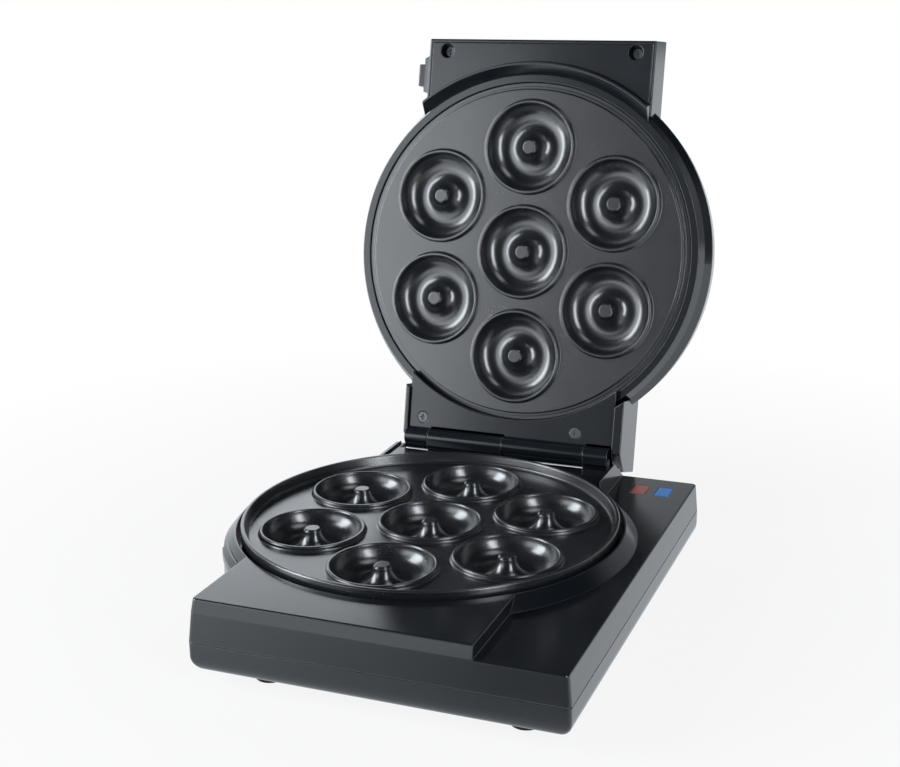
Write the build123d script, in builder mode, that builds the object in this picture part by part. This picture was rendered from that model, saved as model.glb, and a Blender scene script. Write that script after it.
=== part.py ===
from build123d import *
from math import cos, radians, sin, sqrt
import os

os.makedirs("parts", exist_ok=True)

# A donut maker with seven ring moulds, standing open. Millimetres, Z up, X to the right of
# someone who stands in front of it. The origin is on the table, in the middle of the area that
# the open appliance covers. Heights are above the table; plan dimensions are from the axis of
# the two round baking plates.

# ---------------------------------------------------------------- driving dimensions
PLATES_X = -3.15            # the plates' axis in the frame
PLATES_Y = -37.87

# moulds
DONUT_MID_R = 14.8          # middle of the ring-shaped trough
DONUT_TUBE_R = 10.4         # the trough's own radius
RING_INNER_R = DONUT_MID_R + DONUT_TUBE_R
RING_WIDTH = 2.0            # raised ring round each mould
RING_OUTER_R = RING_INNER_R + RING_WIDTH
MOULD_SPACE = 6.6           # left between neighbouring rings
MOULD_PITCH_R = 2 * RING_OUTER_R + MOULD_SPACE
MOULD_COUNT = 6             # round a middle one
RING_HEIGHT = 2.5
CUP_WALL = 2.6
PLATE_T = 3.0
PLATE_GAP = 0.5             # left between the two plates' rings when the lid is shut

# plates' edges, from the moulds outwards
RIM_INNER_R = MOULD_PITCH_R + RING_OUTER_R + 6.8
RIM_WIDTH = 2.4
RIM_OUTER_R = RIM_INNER_R + RIM_WIDTH
RIM_RISE = 3.3              # rim's crest above the rings
SKIRT_DROP = 8.0            # the lower plate's skirt below the rings
UPPER_FLAT_R = RIM_INNER_R - 0.6
UPPER_STEP_R = UPPER_FLAT_R + 1.8
UPPER_EDGE_R = UPPER_STEP_R + 2.2
LEDGE_R = RIM_INNER_R - 0.4 # ledges that carry the plates' edges
LEDGE_T = 2.0

# round collar and plate well
WELL_R = RIM_OUTER_R + 2.4
WELL_WALL = 2.2
COLLAR_TOP_R = WELL_R + 0.8
COLLAR_FOOT_R = COLLAR_TOP_R + 5.7
COLLAR_SEAM_R = COLLAR_FOOT_R + 0.6

# heights
UNDERSIDE_Z = 6.5           # flat underside, carried by the feet
FLOOR_T = 2.5               # thickness of the bottom tray's floor
TRAY_FLOOR_Z = UNDERSIDE_Z + FLOOR_T
PARTING_Z = UNDERSIDE_Z + 16.0      # seam between the base's upper and lower housings
PAN_Z = TRAY_FLOOR_Z + 13.8         # underside of the lower pan
PAN_T = 0.8
HEATER_TUBE_R = 3.2
HEATER_GAP = 0.2            # between the heater and the moulds' backs
CUP_R = DONUT_TUBE_R + CUP_WALL
HEATER_DEPTH = CUP_R + HEATER_GAP + HEATER_TUBE_R    # below the rings
RING_Z = PAN_Z + PAN_T + HEATER_DEPTH + 4.5          # top of the lower plate's mould rings
PLATFORM_Z = RING_Z - 0.7   # platform round the plate, and the collar's top
PANEL_Z = PLATFORM_Z - 6.6  # control panel on the right
CHEEK_Z = PLATFORM_Z + 4.0  # ridge of the right hinge cheek
LEFT_CHEEK_Z = PLATFORM_Z - 0.9
TROUGH_Z = PLATFORM_Z - 2.2 # floor of the trough under the hinge cover
POCKET_Z = PLATFORM_Z - 8.8 # floor of the pocket round the hinge barrels
WELL_WALL_Z = RING_Z - 14.5 # lower end of the wall round the well

# plan of the base
WALL = 2.4
FRONT_Y = -COLLAR_SEAM_R - 19.1     # front edge of the platform
REAR_Y = COLLAR_SEAM_R + 9.6        # rear wall
BAND_HALF = 67.0            # half the width of the platform's front end
BAND_LEFT = -BAND_HALF      # left edge of the platform
STEP_X = BAND_HALF + 4.0    # step down from the platform to the panel
PANEL_RIGHT = COLLAR_SEAM_R + 6.8   # right edge of the panel
LEFT_DRAFT = 2.5            # how far each wall leans out from its top edge to the seam
RIGHT_DRAFT = 1.3
FRONT_DRAFT = 2.0
FACET_DRAFT = 1.4           # part of the front's lean that lies above the panel's height
EDGE_ROUND = 0.8            # moulded edges of the housings and the lid's blocks
CORNER_ROUND = 2.4          # upright corners of the base

# heaters and pans
PAN_R = LEDGE_R - 0.4
PAN_POST_R = PAN_R - 10.2
PAN_POST_ANGLES = (30, 90, 150, 210, 270, 330)
PAN_SCREW_ANGLES = (90, 210, 330)
PAN_POST_SIZE = 3.5
PAN_SCREW_L = 7.0
TERMINAL_ANGLE = 8.0        # half the opening of the heater's ring, in degrees
TERMINAL_LENGTH = 8.6       # the heater's ends behind the ring
CLIP_L = 11.0
CLIP_W = 9.0
STRAP_L = 30.0              # the thermostat's strap, body and face
STRAP_W = 11.0
STRAP_T = 1.0
SENSOR_R = 8.4
SENSOR_H = 5.4
SENSOR_TOP_R = 6.2
THERMOSTAT_LEAD = 5.5       # its blades' distance from the middle
BLADE_T = 0.8
BLADE_W = 3.6
BLADE_DROP = 5.0            # the blades behind the pan's floor
WIRE_R = 0.9
WIRE_BEND = 2.0

# lid, as it lies when shut
HINGE_Y = COLLAR_SEAM_R + 10.4
HINGE_Z = RING_Z - 1.4
LID_OPEN = 102.67           # degrees
LID_RING_R = UPPER_EDGE_R + 0.5     # grey ring round the upper plate
LID_RING_Z = RING_Z + 5.5
LID_FOOT_R = LID_RING_R + 4.2       # skirt's foot, its step and its widest place
LID_SKIRT_R = LID_FOOT_R + 2.3
LID_SKIRT_Z = LID_RING_Z + 6.5
LID_WAIST_R = LID_SKIRT_R + 3.3
LID_WAIST_Z = LID_SKIRT_Z + 6.0
LID_SHOULDER_R = LID_WAIST_R - 1.1  # shell's side and its rounded top edge
LID_SHOULDER_Z = LID_WAIST_Z + 10.5
SHOULDER_ROUND = 5.0
LID_EDGE_R = LID_SHOULDER_R - 0.6
LID_TOP_R = LID_EDGE_R - SHOULDER_ROUND
LID_TOP_Z = LID_SHOULDER_Z + 6.0
BAND_TOP_Z = LID_TOP_Z - 2.0        # top of the handle and hinge blocks
SEAM = 0.3                  # gap between neighbouring covers and shells
HANDLE_RIM = 1.7
HANDLE_HALF = BAND_HALF + 2.0
HANDLE_FACE_Z = LID_RING_Z + 2.5
HANDLE_FRONT_Y = -LID_WAIST_R - 14.7
HANDLE_LEAN = 3.4           # how far the front wall leans out towards the lid's top
HINGE_OPENING = BAND_HALF - 3.5     # half the opening that the hinge cover closes
HINGE_LEFT = -HINGE_OPENING - 2.5   # sides of the hinge block
HINGE_RIGHT = HINGE_OPENING + 5.4
HINGE_FACE_Z = RING_Z
HINGE_RIM_Z = HINGE_FACE_Z - 2.3    # the hinge block's rim stands out of its cover
HINGE_FLAT_Y = HINGE_Y - 5.3        # the rim's flat ends here and the chamfer starts
HINGE_CHAMFER = 11.0
HINGE_BLOCK_Y = HINGE_FLAT_Y + HINGE_CHAMFER + 2.4  # rear wall at the top
LIP_CREST_W = 1.2
LIP_CREST_R = LID_FOOT_R + 5.9      # curved lip that goes over the base's collar
LIP_CREST_Z = RING_Z + 0.3
LIP_OUTER_R = LIP_CREST_R + 2.0
COVER_T = 2.5

# hinge
KNUCKLE_R = 5.2
KNUCKLE_RISE = 3.5          # the barrels' middle above the pin while the lid is open
EYE_R = 4.2                 # the lid's barrels round the pin itself
PIN_R = 2.0
PIN_FIT = 0.04
KNUCKLES = [                # lid, base, lid, base
    (0.6 - HINGE_OPENING, -48.8), (-48.4, -2.2), (-1.8, 47.5), (47.9, HINGE_OPENING - 1.2),
]
TROUGH_LEFT = HINGE_LEFT - 0.4
TROUGH_RIGHT = HINGE_RIGHT + 0.3
LEFT_RIDGE_X = TROUGH_LEFT - 2.0    # outer edges of the two cheeks' tops
RIGHT_RIDGE_X = TROUGH_RIGHT + 0.4
CHEEK_FRONT = 60.0
CHEEK_CORNER_Y = REAR_Y - 12.5      # rear end of the right cheek's ridge
LEFT_CHEEK_END_Y = REAR_Y - CORNER_ROUND - 0.6
LEFT_CHEEK_FOOT_Z = PARTING_Z + 2.0
POCKET_LEFT = KNUCKLES[0][0] - 0.8
POCKET_RIGHT = KNUCKLES[3][1] + 1.2
POCKET_Y = HINGE_Y - KNUCKLE_RISE - KNUCKLE_R - 0.4

# feet, bosses, screws
FOOT_R = 7.5
FOOT_SPOTS = [
    (x, y) for y in (FRONT_Y + 19, REAR_Y - 20.5) for x in (BAND_LEFT + 29, PANEL_RIGHT - 25.2)
]
PLATFORM_BOSSES = [(BAND_LEFT + 9, FRONT_Y + 14), (STEP_X - 13, FRONT_Y + 12)]
PANEL_BOSSES = [(PANEL_RIGHT - 10.7, FRONT_Y + 14), (PANEL_RIGHT - 6.7, REAR_Y - 7.5)]
TROUGH_BOSSES = [(x, REAR_Y - 12.5) for x in (TROUGH_LEFT + 6.9, TROUGH_RIGHT - 9.7)]
BOSS_SPOTS = PLATFORM_BOSSES + PANEL_BOSSES + TROUGH_BOSSES
BOSS_R = 4.0
PEDESTAL_R = 5.2
PEDESTAL_Z = TRAY_FLOOR_Z + 4.0
SCREW_R = 1.45
SCREW_L = 10.0
SCREW_HOLE_R = 1.6
HEAD_R = 2.9
HEAD_T = 2.0
CROSS_L = 3.4               # the driver's cross in each head
CROSS_W = 0.8
CROSS_DEPTH = 1.1

# control panel windows
WINDOW_W = 8.4
WINDOW_D = 13.6
WINDOW_Y = REAR_Y - 19.7
RED_X = PANEL_RIGHT - 27.5
BLUE_X = PANEL_RIGHT - 14.1
WINDOW_FIT = 0.1
WINDOW_LIP = 0.4
BOARD_X = (RED_X + BLUE_X) / 2   # the lamps' circuit board under the panel
BOARD_Z = PANEL_Z - 10.2
BOARD_T = 1.6
BOARD_W = 25.0
BOARD_D = 14.5
BOARD_Y = WINDOW_Y - 5.6
BOARD_POST_R = 1.8

# release buttons
LID_BUTTON_Y = HANDLE_FRONT_Y + 20.8
LID_BUTTON_Z = LID_WAIST_Z
LID_BUTTON_W = 13.0
LID_BUTTON_H = 8.0
LID_BUTTON_OUT = 8.6        # how far it stands out of the handle block's side
BEZEL_W = 22.0
BEZEL_H = 13.0
BEZEL_T = 4.4
BUTTON_FIT = 0.3
BUTTON_TRAVEL = 3.0
SLOT_ANGLE = -141.0
SLOT_HALF = 8.0             # degrees each side
SLOT_TOP_Z = RING_Z - 4.2
SLOT_BOTTOM_Z = SLOT_TOP_Z - 7.2

# ---------------------------------------------------------------- planes and axes
UP = (0, 0, 1)
BASE = Plane(origin=(PLATES_X, PLATES_Y, 0))
BASE_FRONT = Plane(origin=BASE.origin, x_dir=(1, 0, 0), z_dir=(0, -1, 0))
BASE_SIDE = Plane(origin=BASE.origin, x_dir=(0, 1, 0), z_dir=(1, 0, 0))
BASE_AXIS = Axis(BASE.origin, UP)

to_hinge = Location((PLATES_X, PLATES_Y + HINGE_Y, HINGE_Z), (-LID_OPEN, 0, 0))
LID = Plane(to_hinge * Location((0, -HINGE_Y, -HINGE_Z)))
LID_FRONT = Plane(origin=LID.origin, x_dir=LID.x_dir, z_dir=-LID.y_dir)
LID_SIDE = Plane(origin=LID.origin, x_dir=LID.y_dir, z_dir=LID.x_dir)
LID_AXIS = Axis(LID.origin, LID.z_dir)

FAR = 400.0                 # longer than anything in the appliance


def facing_down(plane, height):
    """The plane at a height that looks down. Its Y is the plane's own; its X runs to the left."""
    return Plane(origin=plane.offset(height).origin, x_dir=-plane.x_dir, z_dir=-plane.z_dir)


# each plate's own plane lies on top of its mould rings and faces the other plate
LOWER = BASE.offset(RING_Z)
UPPER = facing_down(LID, RING_Z + PLATE_GAP)


def on_circle(radius, angle):
    """The plan point at a radius and an angle in degrees."""
    return (radius * cos(radians(angle)), radius * sin(radians(angle)))


def turned(front_plane, axis, points):
    """A solid of revolution from its half section, given as (radius, height) points."""
    with BuildPart() as body:
        with BuildSketch(front_plane):
            with BuildLine():
                Polyline(*points, close=True)
            make_face()
        revolve(axis=axis)
    return body.part


def slab(plane, x_low, x_high, y_low, y_high, z_low, z_high):
    """A box between limits in a plane's own directions."""
    with BuildPart() as body:
        with BuildSketch(plane.offset(z_low)):
            with Locations(((x_low + x_high) / 2, (y_low + y_high) / 2)):
                Rectangle(x_high - x_low, y_high - y_low)
        extrude(amount=z_high - z_low)
    return body.part


def side_prism(side_plane, x_low, x_high, points):
    """A prism across the appliance, from its side view, as (depth, height) points."""
    with BuildPart() as body:
        with BuildSketch(side_plane.offset(x_low)):
            with BuildLine():
                Polyline(*points, close=True)
            make_face()
        extrude(amount=x_high - x_low)
    return body.part


def mould_spots(radius):
    """The seven moulds: one in the middle and a ring of six, two of them on the Y axis."""
    ring = [on_circle(radius, 90 + 360 / MOULD_COUNT * i) for i in range(MOULD_COUNT)]
    return [(0, 0)] + ring


# ================================================================ base
# ---------------------------------------------------------------- upper housing
def base_form(inset):
    """The base above the seam as one block, or the same block set in by a wall."""
    top = PLATFORM_Z - inset
    with BuildPart() as form:
        with BuildSketch(BASE_FRONT):
            with BuildLine():
                Polyline(
                    (BAND_LEFT - LEFT_DRAFT + inset, PARTING_Z),
                    (PANEL_RIGHT + RIGHT_DRAFT - inset, PARTING_Z),
                    (PANEL_RIGHT - inset, PANEL_Z - inset),
                    (STEP_X - inset, PANEL_Z - inset),
                    (STEP_X - inset, top),
                    (BAND_LEFT + inset, top),
                    close=True,
                )
            make_face()
        extrude(amount=FAR, both=True)
        with BuildSketch(BASE_SIDE):
            with BuildLine():
                Polyline(
                    (FRONT_Y - FRONT_DRAFT + inset, PARTING_Z),
                    (FRONT_Y - FACET_DRAFT + inset, PANEL_Z),
                    (FRONT_Y + inset, top),
                    (REAR_Y - inset, top),
                    (REAR_Y - inset, PARTING_Z),
                    close=True,
                )
            make_face()
        extrude(amount=FAR, both=True, mode=Mode.INTERSECT)
    return form.part


inside_wall = turned(BASE_FRONT, BASE_AXIS, [
    (0, 0), (WELL_R + WELL_WALL, 0), (WELL_R + WELL_WALL, FAR), (0, FAR),
])


def cheek(front_view, side_view):
    """A wall beside the hinge trough, from its two views. It ends on the wall round the well."""
    end_r = WELL_R + WELL_WALL / 2
    with BuildPart() as wall:
        with BuildSketch(BASE_FRONT):
            with BuildLine():
                Polyline(*front_view, close=True)
            make_face()
        extrude(amount=FAR, both=True)
        with BuildSketch(BASE_SIDE):
            with BuildLine():
                Polyline(*side_view, close=True)
            make_face()
        extrude(amount=FAR, both=True, mode=Mode.INTERSECT)
        add(turned(BASE_FRONT, BASE_AXIS, [(0, 0), (end_r, 0), (end_r, FAR), (0, FAR)]), mode=Mode.SUBTRACT)
    return wall.part


left_cheek = cheek([
    (TROUGH_LEFT, LEFT_CHEEK_FOOT_Z), (LEFT_RIDGE_X - 0.6, LEFT_CHEEK_FOOT_Z),
    (LEFT_RIDGE_X, LEFT_CHEEK_Z), (TROUGH_LEFT, LEFT_CHEEK_Z),
], [
    (CHEEK_FRONT, LEFT_CHEEK_FOOT_Z), (LEFT_CHEEK_END_Y, LEFT_CHEEK_FOOT_Z),
    (LEFT_CHEEK_END_Y, LEFT_CHEEK_Z), (CHEEK_FRONT, LEFT_CHEEK_Z),
])
right_cheek = cheek([
    (TROUGH_RIGHT, POCKET_Z - WALL), (STEP_X, POCKET_Z - WALL), (STEP_X, PANEL_Z),
    (RIGHT_RIDGE_X, CHEEK_Z), (TROUGH_RIGHT, CHEEK_Z),
], [
    (CHEEK_FRONT, POCKET_Z - WALL), (REAR_Y, POCKET_Z - WALL), (REAR_Y, PANEL_Z),
    (CHEEK_CORNER_Y, CHEEK_Z), (CHEEK_FRONT, CHEEK_Z),
])


def base_knuckle(x_low, x_high):
    """A hinge knuckle with its flat front and the pedestal that carries it."""
    middle_z = HINGE_Z + KNUCKLE_RISE
    face_y = HINGE_Y - KNUCKLE_R
    pedestal_y = HINGE_Y - 3.6
    with BuildPart() as knuckle:
        with BuildSketch(BASE_SIDE.offset(x_low)):
            with Locations((HINGE_Y, middle_z)):
                Circle(KNUCKLE_R)
            with BuildLine():
                Polyline(
                    (face_y, middle_z),
                    (face_y, HINGE_Z),
                    (pedestal_y, HINGE_Z - 2.0),
                    (pedestal_y, POCKET_Z - WALL),
                    (HINGE_Y + 1.8, POCKET_Z - WALL),
                    (HINGE_Y + KNUCKLE_R, middle_z),
                    close=True,
                )
            make_face()
            with Locations((HINGE_Y, HINGE_Z)):
                Circle(PIN_R + PIN_FIT, mode=Mode.SUBTRACT)
        extrude(amount=x_high - x_low)
    return knuckle.part


with BuildPart() as base_block:
    add(base_form(0))
    uprights = base_block.edges().filter_by(lambda edge: abs((edge % 0.5).Z) > 0.9)
    fillet([edge for edge in uprights if abs(edge.center().X - PLATES_X - STEP_X) > 1], CORNER_ROUND)
    level = base_block.edges().filter_by(lambda edge: abs((edge % 0.5).Z) < 0.3)
    platform_edges = [edge for edge in level if edge.center().Z > PLATFORM_Z - 0.01]
    panel_edges = [
        edge for edge in level
        if abs(edge.center().Z - PANEL_Z) < 0.01 and edge.center().X > PLATES_X + STEP_X + 1
    ]
    fillet(platform_edges + panel_edges, EDGE_ROUND)
    # behind the collar the cheeks take the place of the platform's sides
    add(slab(BASE, -FAR, TROUGH_LEFT, CHEEK_FRONT, FAR, LEFT_CHEEK_Z, FAR), mode=Mode.SUBTRACT)
    add(slab(BASE, TROUGH_RIGHT, STEP_X + 1, CHEEK_FRONT, FAR, PANEL_Z, FAR), mode=Mode.SUBTRACT)

collar = turned(BASE_FRONT, BASE_AXIS, [
    (0, PARTING_Z), (COLLAR_SEAM_R, PARTING_Z), (COLLAR_FOOT_R, PANEL_Z),
    (COLLAR_TOP_R, PLATFORM_Z), (0, PLATFORM_Z),
])
collar_hollow = turned(BASE_FRONT, BASE_AXIS, [
    (0, PARTING_Z), (COLLAR_SEAM_R - WALL, PARTING_Z), (COLLAR_FOOT_R - WALL, PANEL_Z - WALL),
    (0, PANEL_Z - WALL),
])
well = turned(BASE_FRONT, BASE_AXIS, [(0, 0), (WELL_R, 0), (WELL_R, FAR), (0, FAR)])
well_wall = turned(BASE_FRONT, BASE_AXIS, [
    (WELL_R, WELL_WALL_Z), (WELL_R + WELL_WALL, WELL_WALL_Z), (WELL_R + WELL_WALL, PLATFORM_Z),
    (WELL_R, PLATFORM_Z),
])


def trough_space(margin):
    """The room under the hinge and its deeper pocket, or the same with a wall round it."""
    room = slab(BASE, TROUGH_LEFT - margin, TROUGH_RIGHT + margin, 0, FAR, TROUGH_Z - margin, FAR)
    return room + slab(
        BASE, POCKET_LEFT - margin, POCKET_RIGHT + margin, POCKET_Y - margin, FAR, POCKET_Z - margin, FAR
    )


trough = trough_space(0) - inside_wall
base_hollow = (base_form(WALL) + collar_hollow) - well_wall - trough_space(WALL)
base_knuckles = [base_knuckle(*KNUCKLES[1]), base_knuckle(*KNUCKLES[3])]


def slot_wedge(half_angle, r_low, r_high, z_low, z_high):
    """A block of the collar round the release slot, between two radii and two heights."""
    with BuildPart() as wedge:
        with BuildSketch(BASE.offset(z_low)):
            with BuildLine():
                Line(on_circle(r_low, SLOT_ANGLE - half_angle), on_circle(r_high, SLOT_ANGLE - half_angle))
                CenterArc((0, 0), r_high, SLOT_ANGLE - half_angle, 2 * half_angle)
                Line(on_circle(r_high, SLOT_ANGLE + half_angle), on_circle(r_low, SLOT_ANGLE + half_angle))
                CenterArc((0, 0), r_low, SLOT_ANGLE - half_angle, 2 * half_angle)
            make_face()
        extrude(amount=z_high - z_low)
    return wedge.part


plate_ledge = turned(BASE_FRONT, BASE_AXIS, [
    (LEDGE_R, RING_Z - SKIRT_DROP - LEDGE_T), (WELL_R + WELL_WALL, RING_Z - SKIRT_DROP - LEDGE_T),
    (WELL_R + WELL_WALL, RING_Z - SKIRT_DROP), (LEDGE_R, RING_Z - SKIRT_DROP),
])
slot_window = slot_wedge(SLOT_HALF, WELL_R - 2, COLLAR_SEAM_R + 2, SLOT_BOTTOM_Z, SLOT_TOP_Z)

with BuildPart() as base_upper_housing:
    add(base_block.part)
    add(collar)
    add(trough, mode=Mode.SUBTRACT)
    add([left_cheek, right_cheek])
    add(base_hollow, mode=Mode.SUBTRACT)
    add(well, mode=Mode.SUBTRACT)
    add(base_knuckles)
    add(plate_ledge)
    # bosses that the bottom screws bite into
    for spots, roof_z in ((PLATFORM_BOSSES, PLATFORM_Z), (PANEL_BOSSES, PANEL_Z), (TROUGH_BOSSES, TROUGH_Z)):
        with BuildSketch(BASE.offset(PEDESTAL_Z + SEAM)):
            with Locations(spots):
                Circle(BOSS_R)
                Circle(SCREW_HOLE_R, mode=Mode.SUBTRACT)
        extrude(amount=roof_z - WALL / 2 - PEDESTAL_Z - SEAM)
    # posts that the indicator board hangs from
    with BuildSketch(BASE.offset(BOARD_Z + BOARD_T)):
        with Locations(*[(BOARD_X, BOARD_Y + side * 4.5) for side in (-1, 1)]):
            Circle(BOARD_POST_R)
    extrude(amount=PANEL_Z - WALL / 2 - BOARD_Z - BOARD_T)
    # windows for the two lights
    with BuildSketch(BASE.offset(PANEL_Z - WALL - 1)):
        with Locations((RED_X, WINDOW_Y), (BLUE_X, WINDOW_Y)):
            Rectangle(WINDOW_W, WINDOW_D)
    extrude(amount=FAR, mode=Mode.SUBTRACT)
    add(slot_window, mode=Mode.SUBTRACT)

base_upper_housing.part.label = "base_upper_housing"
export_step(base_upper_housing.part, "parts/base_upper_housing.step")


# ---------------------------------------------------------------- lower housing
TRAY_ROUND = 8.0            # radius of the tray's bottom edge
TRAY_HEIGHT = PARTING_Z - UNDERSIDE_Z
SEAM_GROOVE = 0.5           # shadow line all round, just under the seam
CORD_X = PANEL_RIGHT - 21.7 # where the cord comes in, through the rear wall
CORD_Z = PARTING_Z - 4.7
GLAND_R = 4.2
CORD_HOLE_R = 2.9
VENT_W = 3.0
VENT_L = 26.0
VENT_PITCH = 8.0
VENT_COUNT = 6
NUB_X = BAND_LEFT + 10      # small moulded nub near the front left corner
NUB_Y = FRONT_Y + 19


def tray_plan(inset):
    """The seam's outline, drawn in the current sketch: the long block and the round collar."""
    x_low = BAND_LEFT - LEFT_DRAFT + inset
    x_high = PANEL_RIGHT + RIGHT_DRAFT - inset
    y_low = FRONT_Y - FRONT_DRAFT + inset
    y_high = REAR_Y - inset
    with Locations(((x_low + x_high) / 2, (y_low + y_high) / 2)):
        RectangleRounded(x_high - x_low, y_high - y_low, CORNER_ROUND)
    Circle(COLLAR_SEAM_R - inset)


with BuildPart() as seam_groove:
    with BuildSketch(BASE.offset(PARTING_Z)):
        tray_plan(-SEAM_GROOVE)
    extrude(amount=-SEAM_GROOVE)
    with BuildSketch(BASE.offset(PARTING_Z)):
        tray_plan(SEAM_GROOVE)
    extrude(amount=-SEAM_GROOVE, mode=Mode.SUBTRACT)

with BuildPart() as tray_hollow:
    with BuildSketch(BASE.offset(PARTING_Z)):
        tray_plan(WALL)
    extrude(amount=-(TRAY_HEIGHT - FLOOR_T))
    fillet(tray_hollow.faces().sort_by(Axis.Z)[0].edges(), TRAY_ROUND - WALL)

with BuildPart() as base_lower_housing:
    with BuildSketch(BASE.offset(PARTING_Z)):
        tray_plan(0)
    extrude(amount=-TRAY_HEIGHT)
    fillet(base_lower_housing.faces().sort_by(Axis.Z)[0].edges(), TRAY_ROUND)
    add(tray_hollow.part, mode=Mode.SUBTRACT)
    add(seam_groove.part, mode=Mode.SUBTRACT)
    # pedestals under the bosses, with a recess for each screw's head
    with BuildSketch(BASE.offset(UNDERSIDE_Z + FLOOR_T / 2)):
        with Locations(BOSS_SPOTS):
            Circle(PEDESTAL_R)
    extrude(amount=PEDESTAL_Z - UNDERSIDE_Z - FLOOR_T / 2)
    with BuildSketch(BASE.offset(UNDERSIDE_Z)):
        with Locations(BOSS_SPOTS):
            Circle(HEAD_R + 0.7)
    extrude(amount=PEDESTAL_Z - UNDERSIDE_Z - 2.0, mode=Mode.SUBTRACT)
    with BuildSketch(BASE.offset(UNDERSIDE_Z)):
        with Locations(BOSS_SPOTS):
            Circle(SCREW_HOLE_R)
        with GridLocations(VENT_PITCH, 2 * VENT_L, VENT_COUNT, 2):
            SlotOverall(VENT_L, VENT_W, rotation=90)
    extrude(amount=PEDESTAL_Z, mode=Mode.SUBTRACT)
    # posts that carry the heat reflector
    with BuildSketch(BASE.offset(UNDERSIDE_Z + FLOOR_T / 2)):
        with Locations([on_circle(PAN_POST_R, angle) for angle in PAN_POST_ANGLES]):
            Circle(PAN_POST_SIZE)
    extrude(amount=PAN_Z - UNDERSIDE_Z - FLOOR_T / 2)
    with BuildSketch(BASE.offset(PAN_Z)):
        with Locations([on_circle(PAN_POST_R, angle) for angle in PAN_SCREW_ANGLES]):
            Circle(SCREW_HOLE_R)
    extrude(amount=-PAN_SCREW_L, mode=Mode.SUBTRACT)
    # hole for the cord's gland
    with BuildSketch(BASE_FRONT.offset(-REAR_Y)):
        with Locations((CORD_X, CORD_Z)):
            Circle(GLAND_R)
    extrude(amount=2 * WALL, both=True, mode=Mode.SUBTRACT)
    with BuildSketch(BASE.offset(UNDERSIDE_Z)):
        with Locations((NUB_X, NUB_Y)):
            Circle(2.0)
    extrude(amount=-1.0)

base_lower_housing.part.label = "base_lower_housing"
export_step(base_lower_housing.part, "parts/base_lower_housing.step")


# ---------------------------------------------------------------- feet
FOOT_TOP_R = FOOT_R + 1.0
with BuildPart() as rubber_feet:
    with Locations([BASE.location * Location((x, y, 0)) for x, y in FOOT_SPOTS]):
        Cone(FOOT_R, FOOT_TOP_R, UNDERSIDE_Z, align=(Align.CENTER, Align.CENTER, Align.MIN))
    fillet(rubber_feet.edges().filter_by(GeomType.CIRCLE).group_by(Axis.Z)[0], 1.5)
rubber_feet.part.label = "rubber_feet"
export_step(rubber_feet.part, "parts/rubber_feet.step")


# ================================================================ baking plates, heaters, pans
FLAT = -RING_HEIGHT                     # heights below the top of the rings
PLATE_BACK = FLAT - PLATE_T
PAN_FLOOR = PAN_Z + PAN_T - RING_Z
UPPER_BACK = PLATE_BACK - 3.5           # back of the upper plate's thick edge
POST_DROP = 0.4                         # the middle posts stop short of the rings


def front_of(plane):
    """The plane through a plate's axis, drawn on for its half sections."""
    return Plane(origin=plane.origin, x_dir=plane.x_dir, z_dir=-plane.y_dir)


def mould_cup():
    """One ring mould about the Z axis: raised ring, donut trough and middle post."""
    lip = 0.6
    wall_z = -sqrt(CUP_R**2 - (RING_OUTER_R - DONUT_MID_R) ** 2)
    post_z = -POST_DROP - 0.9
    post_r = DONUT_MID_R - sqrt(DONUT_TUBE_R**2 - post_z**2)
    edge_r = DONUT_MID_R + sqrt(DONUT_TUBE_R**2 - lip**2)
    slant = CUP_R * sin(radians(45))
    with BuildPart() as cup:
        with BuildSketch(Plane.XZ):
            with BuildLine():
                Polyline((0, -CUP_R), (0, -POST_DROP), (post_r - 0.9, -POST_DROP), (post_r, post_z))
                ThreePointArc((post_r, post_z), (DONUT_MID_R, -DONUT_TUBE_R), (edge_r, -lip))
                Polyline(
                    (edge_r, -lip),
                    (RING_INNER_R + 0.5, 0),
                    (RING_OUTER_R - 0.6, 0),
                    (RING_OUTER_R, -lip),
                    (RING_OUTER_R + 0.1, FLAT + 0.6),
                    (RING_OUTER_R + 0.7, FLAT),
                    (RING_OUTER_R, wall_z),
                )
                ThreePointArc(
                    (RING_OUTER_R, wall_z), (DONUT_MID_R + slant, -slant), (DONUT_MID_R, -CUP_R)
                )
                Line((DONUT_MID_R, -CUP_R), (0, -CUP_R))
            make_face()
        revolve(axis=Axis.Z)
    return cup.part


cup = mould_cup()


def baking_plate(plane, edge):
    """A plate with its seven moulds. edge is its half section, as (radius, height) points."""
    axis = Axis(plane.origin, plane.z_dir)
    with BuildPart() as plate:
        with BuildSketch(front_of(plane)):
            with BuildLine():
                Polyline(*edge, close=True)
            make_face()
        revolve(axis=axis)
        with BuildSketch(plane.offset(2 * PLATE_BACK)):
            with Locations(mould_spots(MOULD_PITCH_R)):
                Circle(RING_OUTER_R - 0.8)
        extrude(amount=-3 * PLATE_BACK, mode=Mode.SUBTRACT)
        for x, y in mould_spots(MOULD_PITCH_R):
            add(plane.location * Location((x, y, 0)) * cup)
    return plate.part


lower_edge = [
    (0, PLATE_BACK), (RIM_OUTER_R - 2.6, PLATE_BACK), (RIM_OUTER_R - 2.6, -SKIRT_DROP),
    (RIM_OUTER_R, -SKIRT_DROP), (RIM_OUTER_R, RIM_RISE - 0.6), (RIM_OUTER_R - 0.6, RIM_RISE),
    (RIM_INNER_R + 0.6, RIM_RISE), (RIM_INNER_R, RIM_RISE - 0.7), (RIM_INNER_R - 0.8, FLAT + 0.9),
    (RIM_INNER_R - 1.6, FLAT), (0, FLAT),
]
with BuildPart() as lower_baking_plate:
    add(baking_plate(LOWER, lower_edge))
lower_baking_plate.part.label = "lower_baking_plate"
export_step(lower_baking_plate.part, "parts/lower_baking_plate.step")

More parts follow.
